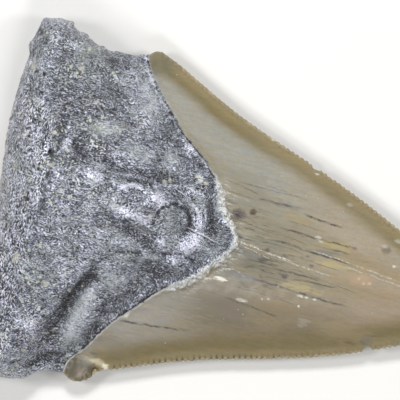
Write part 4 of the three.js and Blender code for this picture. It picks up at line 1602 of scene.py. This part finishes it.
@dataclass(frozen=True)
class RootFinish:
    """Grainy dark bone with pale grains, some of them yellowish, and glossy bosses."""

    dark: Colour = tint(38, 34, 39)
    slate: Colour = tint(80, 81, 89)
    ash: Colour = tint(126, 130, 140)
    frost: Colour = tint(176, 180, 193)
    glint: Colour = tint(234, 232, 248)
    crumb: Colour = tint(202, 205, 184)
    moss: Colour = tint(136, 142, 134)
    warm: Colour = tint(254, 255, 247)
    cool: Colour = tint(246, 248, 255)
    stops: Limits = (0.2, 0.38, 0.54, 0.72, 0.92)

    plain: GrainParts = GrainParts(0.08, 0.06, 0.34, 2.1, 0.8)
    beaded: GrainParts = GrainParts(0.43, 0.06, 0.34, 1.4, 0.6075)
    fine_grain: Texture = Texture(1.9, 1.5, 0.6)
    crest_courses: Texture = Texture(0.9, 3.0, 0.6)
    crest_width: Limits = (0.08, 0.0)
    wavy: Warp = (0.45, 2.0)
    combed: Warp = (0.9, 1.6)
    combed_line: Limits = (-2.2, -0.8)
    wrinkle_courses: Texture = Texture((0.55, 1.25, 0.8), 3.0, 0.6)
    wrinkle_width: Limits = (0.05, 0.01)
    wrinkle_strength: float = 0.14
    wrinkle_drop: float = 0.03
    base_x: Limits = (-8.6, -10.8)
    base_narrows: Limits = (8.0, 18.0, 0.0, 4.5)
    plate_warp: Warp = (1.6, 0.9)
    plates_per_mm: float = 2.1
    plate_gaps: Limits = (0.0, 0.12)
    plate_highlight_share: float = 0.5

    contrast: Limits = (0.88, 0.5)
    glint_contrast: float = 0.5
    base_contrast: float = 0.4
    base_contrast_y: Limits = (16.0, 9.0)
    dark_contrast: Limits = (-0.4, -2.0, 0.0, 0.4)
    tone_and_light_strength: float = 0.09
    matte_lift: float = 0.04
    clouds: Texture = Texture((0.8, 0.45, 0.6), 3.0, 0.6)
    cloud_limits: Limits = (0.3, 0.7, -1.0, 1.0)
    cloud_depth: Limits = (0.05, 0.11)

    lip_ragged: Texture = Texture(1.3, 4.0, 0.7)
    lip_stray: float = 1.2
    lip_patches: Texture = Texture(0.6, 3.0, 0.6)
    crevice_at: float = -0.14
    crevice_width: Limits = (0.2, 0.04)
    crevice_patches: Limits = (0.44, 0.54)
    crevice_shade_strength: float = -0.3
    lip_at: float = -0.42
    lip_width: Limits = (0.26, 0.05)
    lip_gaps: Limits = (0.58, 0.46, 0.1, 1.0)
    lip_highlight_strength: float = 0.26

    ring_at: Place = (7.95, 1.15)
    ring_radius: float = 2.3
    ring_ragged: Texture = Texture(0.9, 4.0, 0.65)
    ring_stray: float = 0.9
    ring_width: Limits = (0.32, 0.0)
    ring_shade_strength: float = -0.15
    ring_rim: float = 0.5
    ring_rim_width: Limits = (0.3, 0.0)
    ring_highlight_strength: float = 0.14
    ring_y: Limits = (0.4, 1.8)

    moss_patches: Texture = Texture(0.35, 3.0, 0.6)
    moss_limits: Limits = (0.48, 0.66, 0.0, 0.5)
    moss_on_matte: float = 0.7
    moss_from: Limits = (0.4, 0.6)
    hues: Texture = Texture(2.4, 3.0, 0.7)
    cool_hues: Limits = (0.4, 0.6)

    strewn: Warp = (1.5, 0.5)
    cream_specks: Specks = Specks(0.6, 0.15, 0.78)
    cream_strength: float = 0.65
    clusters: Texture = Texture(0.3, 3.0, 0.6)
    cluster_limits: Limits = (0.46, 0.6, 0.1, 1.0)
    cluster_x: Limits = (2.0, -5.0, 0.1, 0.78)
    large_crumbs: Specks = Specks(1.2, 0.29, 0.45)
    small_crumbs: Specks = Specks(2.3, 0.36, 0.4)
    crack_seed: float = 7.0
    roughness: Limits = (0.32, 0.6)
    gloss_roughness: float = 0.22
    lustre: Limits = (0.3, 0.0)
    gloss_lustre: float = 0.45

    def make(self, graph: ToothGraph) -> Finish:
        """Builds the finish.

        Args:
            graph: The material's nodes.

        Returns:
            The finish.
        """
        grain = self.pattern(graph)
        plates = self.plates(graph)
        # On the glossy bosses the grain is drawn towards the plates, which lightens it into a painted
        # highlight cracked by the plates' gaps
        grain = graph.blend(graph.times(graph.gloss, self.plate_highlight_share), grain, plates)
        colour = self.coloured(graph, self.brightness(graph, grain))
        colour = graph.mix(graph.inner, colour, self.stained(graph, colour))
        roughness = graph.blend(graph.matte, *self.roughness)
        roughness = graph.blend(graph.gloss, roughness, self.gloss_roughness)
        lustre = graph.blend(graph.matte, *self.lustre)
        lustre = graph.blend(graph.gloss, lustre, self.gloss_lustre)
        return Finish(colour, roughness, grain, lustre)

    def pattern(self, graph: ToothGraph) -> Socket:
        """Lays the grains along the base, along the middle and across the enamel's line.

        Args:
            graph: The material's nodes.

        Returns:
            The grain, around a half.
        """
        wavy = graph.warped(graph.place, *self.wavy)
        middle = self.grains(graph, graph.stretched(wavy, Grain.MIDDLE.per_mm), self.plain)
        wrinkles = self.wrinkles(graph)
        middle = graph.math("SUBTRACT", middle, self.wrinkle_drop)
        middle = graph.math("MULTIPLY_ADD", wrinkles, self.wrinkle_strength, middle)
        base = self.grains(graph, graph.stretched(wavy, Grain.BASE.per_mm), self.plain)
        join = graph.add("ShaderNodeCombineXYZ")
        graph.feed(join.inputs, graph.line, graph.line_run)
        by_line = graph.warped(join.outputs[0], *self.combed)
        combed = self.grains(graph, graph.stretched(by_line, Grain.COMBED.per_mm), self.beaded)
        at_base = self.at_base(graph)
        at_enamel = graph.times(graph.share(graph.line, *self.combed_line), graph.inner)
        return graph.blend(at_enamel, graph.blend(at_base, middle, base), combed)

    def grains(self, graph: Graph, place: Input, parts: GrainParts) -> Socket:
        """Gives uneven grain about one unit apart.

        Args:
            graph: The material's nodes.
            place: The texture coordinates.
            parts: How strong each part of the grain is.

        Returns:
            The grain, around a half.
        """
        dome, own = graph.cells(place)
        fine = graph.noise(place, self.fine_grain)
        crests = graph.away(graph.noise(place, self.crest_courses))
        value = graph.math("MULTIPLY_ADD", dome, parts.dome, graph.times(own, parts.own))
        value = graph.math("MULTIPLY_ADD", graph.share(crests, *self.crest_width), parts.crests, value)
        return graph.math("MULTIPLY_ADD", fine, parts.fine, graph.math("SUBTRACT", value, parts.lowered))

    def wrinkles(self, graph: ToothGraph) -> Socket:
        """Gives thin wavy wrinkles that run along the middle of the root."""
        courses = graph.noise(graph.place, self.wrinkle_courses)
        return graph.share(graph.away(courses), *self.wrinkle_width)

    def at_base(self, graph: ToothGraph) -> Socket:
        """Tells the band along the root's base from the rest."""
        stray = graph.plus(graph.x, graph.share(graph.y, *self.base_narrows))
        return graph.share(stray, *self.base_x)

    def plates(self, graph: ToothGraph) -> Socket:
        """Gives the small plates that the glossy bosses are cracked into.

        Args:
            graph: The material's nodes.

        Returns:
            1 on the plates, 0 in the gaps.
        """
        node = graph.add("ShaderNodeTexVoronoi", feature="DISTANCE_TO_EDGE")
        sockets = (node.inputs["Vector"], node.inputs["Scale"])
        graph.feed(sockets, graph.warped(graph.place, *self.plate_warp), self.plates_per_mm)
        return graph.share(node.outputs["Distance"], *self.plate_gaps)

    def brightness(self, graph: ToothGraph, grain: Input) -> Socket:
        """Turns the grain into the bone's brightness, with painted highlights and painted shade from the
        tone, the hollows, the lip and the ring.

        Args:
            graph: The material's nodes.
            grain: The grain, around a half.

        Returns:
            The brightness, from 0 to 1.
        """
        gain = graph.blend(graph.matte, *self.contrast)
        # More contrast on the glossy bosses, for their painted glints
        gain = graph.plus(gain, graph.times(graph.gloss, self.glint_contrast))
        low_base = graph.times(self.at_base(graph), graph.share(graph.y, *self.base_contrast_y))
        gain = graph.math("MULTIPLY_ADD", low_base, self.base_contrast, gain)
        gain = graph.plus(gain, graph.share(graph.tone, *self.dark_contrast))
        value = graph.math("MULTIPLY_ADD", graph.math("SUBTRACT", grain, 0.5), gain, 0.5)
        # the tone brings painted highlights and painted shade with the bone's own tone, and hollow brings
        # painted shade in hollows and painted highlights on bumps
        value = graph.plus(value, graph.math("MULTIPLY_ADD", graph.tone, self.tone_and_light_strength, graph.hollow))
        value = graph.plus(value, graph.times(graph.matte, self.matte_lift))
        value = graph.plus(value, graph.plus(self.lip(graph), self.ring(graph)))
        clouds = graph.noise(graph.place, self.clouds)
        depth = graph.blend(self.at_base(graph), *self.cloud_depth)
        return graph.math("MULTIPLY_ADD", graph.share(clouds, *self.cloud_limits), depth, value)

    def lip(self, graph: ToothGraph) -> Socket:
        """Gives the broken dark crevice along the enamel's line, a painted shadow, and the light lip beside
        it, a painted highlight.

        Args:
            graph: The material's nodes.

        Returns:
            What both add to the brightness.
        """
        stray = graph.stray(graph.noise(graph.place, self.lip_ragged), self.lip_stray)
        line = graph.plus(graph.line, stray)
        patchy = graph.noise(graph.place, self.lip_patches)
        crevice = graph.share(graph.away(line, self.crevice_at), *self.crevice_width)
        crevice = graph.times(crevice, graph.share(patchy, *self.crevice_patches))
        light = graph.share(graph.away(line, self.lip_at), *self.lip_width)
        light = graph.times(light, graph.share(patchy, *self.lip_gaps))
        crevice = graph.times(crevice, self.crevice_shade_strength)
        return graph.times(graph.math("MULTIPLY_ADD", light, self.lip_highlight_strength, crevice), graph.inner)

    def ring(self, graph: ToothGraph) -> Socket:
        """Gives painted shade along the groove over the round boss, and a painted highlight on the rim around
        it, both on its upper half only.

        Args:
            graph: The material's nodes.

        Returns:
            What both add to the brightness.
        """
        away = graph.vector("SUBTRACT", graph.flat(graph.place), (*self.ring_at, 0.0))
        length = graph.vector("LENGTH", away)
        ragged = graph.noise(graph.place, self.ring_ragged)
        inwards = -self.ring_stray / 2 - self.ring_radius
        outside = graph.plus(length, graph.math("MULTIPLY_ADD", ragged, self.ring_stray, inwards))
        dark = graph.share(graph.math("ABSOLUTE", outside), *self.ring_width)
        light = graph.share(graph.away(outside, self.ring_rim), *self.ring_rim_width)
        dark = graph.times(dark, self.ring_shade_strength)
        both = graph.math("MULTIPLY_ADD", light, self.ring_highlight_strength, dark)
        return graph.times(both, graph.share(graph.y, *self.ring_y))

    def coloured(self, graph: ToothGraph, value: Input) -> Socket:
        """Gives a brightness the bone's colours.

        Args:
            graph: The material's nodes.
            value: The brightness.

        Returns:
            The colour.
        """
        colours = (self.dark, self.slate, self.ash, self.frost, self.glint)
        # The ramp's brightest stop, glint, is where the painted highlights end
        colour = graph.ramp(value, *zip(self.stops, colours))
        patches = graph.share(graph.noise(graph.place, self.moss_patches), *self.moss_limits)
        mossy = graph.math("MAXIMUM", patches, graph.times(graph.matte, self.moss_on_matte))
        mossy = graph.times(mossy, graph.share(value, *self.moss_from))
        colour = graph.mix(mossy, colour, self.moss)
        hue = graph.share(graph.noise(graph.place, self.hues), *self.cool_hues)
        return graph.tinted(colour, graph.mix(hue, self.warm, self.cool))

    def stained(self, graph: ToothGraph, colour: Input) -> Socket:
        """Lays the spots, the crumbs, the cracks and the pale wrinkle lines over a colour; the pits are
        painted shade and the wrinkle lines painted highlights.

        Args:
            graph: The material's nodes.
            colour: The colour under them.

        Returns:
            The colour with all of them.
        """
        flat = graph.flat(graph.place)
        colour = paint_spots(graph, flat, colour, ROOT_SPOTS)
        strewn = graph.warped(flat, *self.strewn)
        cream = graph.times(graph.specks(strewn, self.cream_specks), self.cream_strength)
        colour = graph.mix(cream, colour, CREAM)
        clusters = graph.share(graph.noise(flat, self.clusters), *self.cluster_limits)
        clusters = graph.times(clusters, graph.share(graph.x, *self.cluster_x))
        crumbs = [graph.specks(strewn, specks) for specks in (self.large_crumbs, self.small_crumbs)]
        colour = graph.mix(graph.times(graph.math("MAXIMUM", *crumbs), clusters), colour, self.crumb)
        colour = graph.mix(BrokenLines().mask(graph, ROOT_CRACKS, self.crack_seed), colour, self.dark)
        # painted highlights along the wrinkles
        return graph.mix(BrokenLines().mask(graph, ROOT_WRINKLE_HIGHLIGHTS, self.crack_seed), colour, self.glint)


@dataclass(frozen=True)
class BorderFinish:
    """The crumbly chalky seam where the enamel ends.

    It is wide between two places on the enamel's line, and thin after the first of them. At the
    apex's tip it narrows.
    """

    chalk: Colour = tint(218, 219, 217)
    shadow: Colour = tint(140, 139, 134)
    dull: Colour = tint(170, 170, 167)
    start: Place = (12.2, 8.4)
    end: Place = (9.6, -7.3)
    tip: Place = (16.9, 0.9)
    start_fade: Place = (-1.0, 1.5)
    end_fade: Place = (1.0, -0.5)
    thin_fade: Place = (-1.0, 1.0)
    width: float = 0.75
    thin_width: float = 0.16
    swells: Texture = Texture(0.9, 3.0, 0.6)
    swell_limits: Limits = (0.35, 0.65, 0.35, 1.1)
    tip_narrows: Limits = (0.8, 2.6, 0.45, 1.0)

    ragged: Texture = Texture(1.7, 5.0, 0.75)
    ragged_by: float = 1.2
    ragged_share: Limits = (0.3, 1.0)
    middle_out: float = 0.4
    overlap: float = 0.34
    core_side: Limits = (0.1, -0.08)
    strands: Texture = Texture((0.9, 3.4, 1.0), 5.0, 0.75, 12.0)
    strand_limits: Limits = (0.5, 0.64)
    strands_out: Limits = (2.4, 0.2)
    strands_in: Limits = (-0.4, 0.1)
    strand_strength: float = 0.6
    wear: Texture = Texture(1.6, 4.0, 0.7)
    wear_limits: Limits = (0.32, 0.46, 0.1, 1.0)
    crumbs: Texture = Texture(3.4, 5.0, 0.75)
    crumb_stops: Limits = (0.4, 0.58)

    def make(self, graph: ToothGraph, line: Line) -> tuple[Socket, Socket]:
        """Builds the seam.

        Args:
            graph: The material's nodes.
            line: The enamel's line on the inner face.

        Returns:
            The seam's colour and its mask.
        """
        wide = graph.times(
            self.past(graph, line.run_at(self.start), self.start_fade),
            self.past(graph, line.run_at(self.end), self.end_fade),
        )
        width = self.widths(graph, line, wide)
        core = self.core(graph, wide, width)
        strands = graph.noise(graph.place, self.strands)
        reach = graph.share(graph.line, *self.strands_out)
        reach = graph.times(reach, graph.share(graph.line, *self.strands_in))
        strands = graph.times(graph.share(strands, *self.strand_limits), graph.times(reach, wide))
        worn = graph.share(graph.noise(graph.place, self.wear), *self.wear_limits)
        mask = graph.math("MAXIMUM", graph.times(core, worn), graph.times(strands, self.strand_strength))
        crumbs = graph.noise(graph.place, self.crumbs)
        colour = graph.ramp(crumbs, *zip(self.crumb_stops, (self.shadow, self.chalk)))
        colour = graph.mix(wide, self.dull, colour)
        return colour, graph.times(mask, graph.inner)

    def past(self, graph: ToothGraph, run: float, fade: Place, *ends: float) -> Socket:
        """Eases from one value to another at a place along the enamel's line.

        Args:
            graph: The material's nodes.
            run: The place, as a length along the line.
            fade: Where the easing starts and ends, from that place.
            ends: What it starts and ends as, else 0 and 1.

        Returns:
            The eased value.
        """
        return graph.share(graph.line_run, run + fade[0], run + fade[1], *ends)

    def widths(self, graph: ToothGraph, line: Line, wide: Input) -> Socket:
        """Gives the seam's width.

        Args:
            graph: The material's nodes.
            line: The enamel's line on the inner face.
            wide: How much of the wide seam there is.

        Returns:
            The width, in millimetres.
        """
        thin = self.past(graph, line.run_at(self.start), self.thin_fade, 0.0, self.thin_width)
        swell = graph.share(graph.noise(graph.place, self.swells), *self.swell_limits)
        from_tip = graph.away(graph.line_run, line.run_at(self.tip))
        swell = graph.times(swell, graph.share(from_tip, *self.tip_narrows))
        return graph.math("MULTIPLY_ADD", graph.times(wide, self.width), swell, thin)

    def core(self, graph: ToothGraph, wide: Input, width: Input) -> Socket:
        """Draws the seam's ragged middle.

        Args:
            graph: The material's nodes.
            wide: How much of the wide seam there is.
            width: The seam's width.

        Returns:
            Its mask.
        """
        ragged = graph.stray(graph.noise(graph.place, self.ragged), self.ragged_by)
        shifted = graph.plus(graph.line, graph.times(ragged, graph.blend(wide, *self.ragged_share)))
        middle = graph.math("SUBTRACT", graph.times(width, self.middle_out), graph.times(wide, self.overlap))
        away = graph.away(shifted, middle)
        return graph.share(graph.math("SUBTRACT", away, graph.times(width, 0.5)), *self.core_side)


@dataclass(frozen=True)
class ToothFinish:
    """The whole tooth's material: root, enamel and the seam between them."""

    root: RootFinish = RootFinish()
    enamel: EnamelFinish = EnamelFinish()
    border: BorderFinish = BorderFinish()
    root_bump: float = 0.07
    enamel_bump: float = 0.06
    line_ragged: Texture = Texture(1.5, 4.0, 0.65)
    line_stray: float = 1.0
    line_blend: Limits = (-0.05, 0.05)
    seam_roughness: float = 0.75
    seam_lustre: float = 0.0

    def make(self, plan: Plan) -> bpy.types.Material:
        """Builds the material.

        Args:
            plan: The tooth's outlines.

        Returns:
            The material.
        """
        graph = ToothGraph("tooth")
        root = self.root.make(graph)
        enamel = self.enamel.make(graph)
        ragged = graph.stray(graph.noise(graph.place, self.line_ragged), self.line_stray)
        is_enamel = graph.share(graph.plus(graph.line, ragged), *self.line_blend)
        seam_colour, seam = self.border.make(graph, plan.enamel_inner)
        colour = graph.mix(is_enamel, root.colour, enamel.colour)
        colour = graph.mix(seam, colour, seam_colour)
        roughness = graph.blend(is_enamel, root.roughness, enamel.roughness)
        roughness = graph.blend(seam, roughness, self.seam_roughness)
        lustre = graph.blend(is_enamel, root.lustre, enamel.lustre)
        lustre = graph.blend(seam, lustre, self.seam_lustre)
        heights = graph.times(root.height, self.root_bump), graph.times(enamel.height, self.enamel_bump)
        normal = graph.relief(graph.blend(is_enamel, *heights), MM)
        return graph.finish(colour, roughness, normal, lustre)


@dataclass(frozen=True)
class PaintedHollowShade:
    """Painted shade in the hollows and painted highlights on the bumps of one size: how much darker and
    lighter they are.
    """

    strength: float
    rounds: int
    limits: Limits

    def shades(self, surface: Surface) -> np.ndarray:
        """Gives what the painted shade and highlights add to each vertex's brightness."""
        return np.clip(self.strength * surface.convexity(self.rounds), *self.limits)


@dataclass
class Tooth:
    """The whole tooth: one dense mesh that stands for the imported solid."""

    plan: Plan = Plan()
    root_relief: RootRelief = RootRelief()
    enamel_relief: EnamelRelief = EnamelRelief()
    finish: ToothFinish = ToothFinish()
    levels: int = 2
    merge_distance: float = 1e-7
    quad_threshold: float = 0.9
    smooth_angle: float = 60.0
    crease_from_x: float = -2.0
    crease_height: float = 2.4
    crease_reach: float = 1.2
    edge_fade: float = 0.5
    notch_fade: float = 0.12
    notch_sideways: float = 0.8
    small_painted_shade: PaintedHollowShade = PaintedHollowShade(0.7, 8, (-0.07, 0.07))
    broad_painted_shade: PaintedHollowShade = PaintedHollowShade(0.25, 90, (-0.1, 0.06))

    def build(self) -> bpy.types.Object:
        """Makes, sculpts and dresses the tooth.

        Returns:
            The piece.
        """
        piece = self.copy_solid()
        self.refine(piece)
        surface = Surface.read(piece)
        fields = self.plan.fields(surface.points, surface.normals)
        self.sculpt(surface, fields)
        surface.write(piece)
        self.write_fields(piece, surface, fields)
        piece.data.materials.clear()
        piece.data.materials.append(self.finish.make(self.plan))
        self.shade(piece)
        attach(piece, "root")
        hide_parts("tooth")
        return piece

    def copy_solid(self) -> bpy.types.Object:
        """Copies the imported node's mesh into a new piece.

        Returns:
            The piece, at the origin.
        """
        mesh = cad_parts["tooth"].data.copy()
        piece = bpy.data.objects.new("tooth_surface", mesh)
        bpy.context.collection.objects.link(piece)
        select_only(piece)
        return piece

    def refine(self, piece: bpy.types.Object) -> None:
        """Merges the mesh, keeps its cutting edges sharp and subdivides it.

        Args:
            piece: The piece, which is selected and active.
        """
        bpy.ops.object.mode_set(mode="EDIT")
        bpy.ops.mesh.select_all(action="SELECT")
        bpy.ops.mesh.customdata_custom_splitnormals_clear()
        bpy.ops.mesh.remove_doubles(threshold=self.merge_distance)
        limit = self.quad_threshold
        bpy.ops.mesh.tris_convert_to_quads(face_threshold=limit, shape_threshold=limit)
        bpy.ops.mesh.select_all(action="DESELECT")
        bpy.ops.object.mode_set(mode="OBJECT")
        self.select_cutting_edges(piece)
        bpy.ops.object.mode_set(mode="EDIT")
        bpy.ops.transform.edge_crease(value=1.0)
        bpy.ops.object.mode_set(mode="OBJECT")
        modifier = piece.modifiers.new("fine mesh", "SUBSURF")
        modifier.levels = self.levels
        modifier.render_levels = self.levels
        bpy.ops.object.modifier_apply(modifier=modifier.name)

    def select_cutting_edges(self, piece: bpy.types.Object) -> None:
        """Selects the edges where the crown's upper and lower faces meet.

        Args:
            piece: The piece, with nothing of its mesh selected.
        """
        mesh = piece.data
        sides: dict[tuple[int, int], list[float]] = {}
        for face in mesh.polygons:
            for key in face.edge_keys:
                sides.setdefault(key, []).append(face.normal.z)
        for edge in mesh.edges:
            heights = sides[tuple(sorted(edge.vertices))]
            middle = sum((mesh.vertices[k].co for k in edge.vertices), Vector()) / 2
            on_crown = middle.x / MM - CROWN_BASE[0] > self.crease_from_x
            at_height = abs(middle.z / MM - self.crease_height) < self.crease_reach
            edge.select = on_crown and min(heights) < 0 < max(heights) and at_height

    def sculpt(self, surface: Surface, fields: Fields) -> None:
        """Moves the vertices into the tooth's fine relief, and none of them below the floor.

        Args:
            surface: The surface.
            fields: What was measured on it.
        """
        rise = self.root_relief.heights(surface.points, fields)
        rise += self.enamel_relief.heights(surface.points, fields)
        notches = self.enamel_relief.notches(surface.points, fields)
        fade = np.where(fields.line < 0, 1.0, smooth(fields.edge / self.edge_fade))
        rise = rise * fade + HEEL_BITE.height(surface.points[:, :2])
        surface.points += surface.normals * rise[:, None]
        surface.points[:, :2] -= surface.normals[:, :2] * (notches * self.notch_sideways)[:, None]
        inwards = np.where(fields.inner > 0.5, 1.0, -1.0) * smooth(fields.edge / self.notch_fade)
        surface.points[:, 2] -= notches * inwards
        surface.points[:, 2] = np.maximum(surface.points[:, 2], 0.0)

    def write_fields(self, piece: bpy.types.Object, surface: Surface, fields: Fields) -> None:
        """Stores what the material reads as attributes of the mesh.

        Args:
            piece: The piece.
            surface: Its surface.
            fields: What was measured on it.
        """
        plan = surface.points[:, :2]
        stored = {
            "line": fields.line,
            "line_run": fields.line_run,
            "edge": fields.edge,
            "edge_run": fields.edge_run,
            "across": fields.across,
            "inner": fields.inner,
            # hollow: painted shade in the relief's hollows and painted highlights on its bumps
            "hollow": self.small_painted_shade.shades(surface) + self.broad_painted_shade.shades(surface),
            # tone: the bone's own tone, with painted highlights on its bosses and painted shade in its
            # troughs
            "tone": total(ROOT_TONES_AND_PAINTED_LIGHT, plan) * fields.inner,
            "gloss": np.clip(total(GLOSS, plan), 0, 1) * fields.inner,
            "matte": np.clip(total(MATTE, plan), 0, 1) * fields.inner,
        }
        for name, values in stored.items():
            attribute = piece.data.attributes.new(name, "FLOAT", "POINT")
            attribute.data.foreach_set("value", values.astype(np.float32))

    def shade(self, piece: bpy.types.Object) -> None:
        """Shades the mesh smooth, but for its sharp edges."""
        select_only(piece)
        bpy.ops.object.shade_smooth_by_angle(angle=math.radians(self.smooth_angle))


@dataclass(frozen=True)
class Lamp:
    """A soft square light that faces the tooth: its place and side in metres, its power in watts."""

    name: str
    place: tuple[float, float, float]
    side: float
    power: float


LAMPS = (
    Lamp("upper", (-0.08, 0.23, 0.29), 0.08, 1.0),
    Lamp("left", (-0.24, -0.02, 0.28), 0.08, 0.45),
    Lamp("right", (0.23, 0.06, 0.28), 0.08, 0.4),
    Lamp("lower", (0.06, -0.26, 0.27), 0.1, 0.62),
)


@dataclass
class Studio:
    """A plain pale floor, soft light and a long lens looking straight down."""

    view_width: float = 54.0
    view_centre: Place = (10.8, 4.9)
    view_roll: float = 13.5
    lens: float = 600.0
    sensor: float = 36.0
    sharp_height: float = 3.0
    floor_side: float = 1200.0
    floor_colour: Colour = tint(214, 213, 210)
    floor_roughness: float = 0.8
    sky_colour: Colour = tint(236, 240, 246)
    sky_strength: float = 0.2

    def build(self) -> None:
        """Makes the floor, the lights and the camera."""
        self.make_floor()
        self.make_world()
        for lamp in LAMPS:
            self.make_light(lamp)
        self.make_camera()

    def make_floor(self) -> None:
        """Lays a plain floor under the tooth."""
        bpy.ops.object.select_all(action="DESELECT")
        bpy.ops.mesh.primitive_plane_add(size=self.floor_side * MM, location=(0.0, 0.0, 0.0))
        floor = bpy.context.active_object
        floor.name = "floor"
        floor.data.materials.append(Graph("floor").finish(self.floor_colour, self.floor_roughness))

    def make_world(self) -> None:
        """Fills the surroundings with even, slightly cool light."""
        world = bpy.data.worlds.new("studio")
        world.use_nodes = True
        background = world.node_tree.nodes["Background"]
        background.inputs["Color"].default_value = (*self.sky_colour, 1.0)
        background.inputs["Strength"].default_value = self.sky_strength
        bpy.context.scene.world = world
        bpy.context.scene.view_settings.view_transform = "Standard"

    def make_light(self, lamp: Lamp) -> None:
        """Hangs one light.

        Args:
            lamp: The light.
        """
        data = bpy.data.lights.new(lamp.name, "AREA")
        data.size = lamp.side
        data.energy = lamp.power
        light = bpy.data.objects.new(lamp.name, data)
        light.location = lamp.place
        light.rotation_euler = (-Vector(lamp.place)).to_track_quat("-Z", "Y").to_euler()
        bpy.context.collection.objects.link(light)

    def make_camera(self) -> None:
        """Looks straight down, turned about the line of sight as the photograph is."""
        data = bpy.data.cameras.new("camera")
        data.lens = self.lens
        data.sensor_width = self.sensor
        camera = bpy.data.objects.new("camera", data)
        distance = self.view_width / self.sensor * self.lens
        camera.location = (
            (self.view_centre[0] + CROWN_BASE[0]) * MM,
            (self.view_centre[1] + CROWN_BASE[1]) * MM,
            (self.sharp_height + distance) * MM,
        )
        camera.rotation_euler = (0.0, 0.0, math.radians(self.view_roll))
        bpy.context.collection.objects.link(camera)
        bpy.context.scene.camera = camera


def main() -> None:
    """Builds the tooth and its studio."""
    logging.basicConfig(level=logging.INFO, format="%(message)s")
    piece = Tooth().build()
    log.info("%s: %d vertices, %d faces", piece.name, len(piece.data.vertices), len(piece.data.polygons))
    Studio().build()
    log.info("studio: floor, lights and camera")


if __name__ == "__main__":
    main()
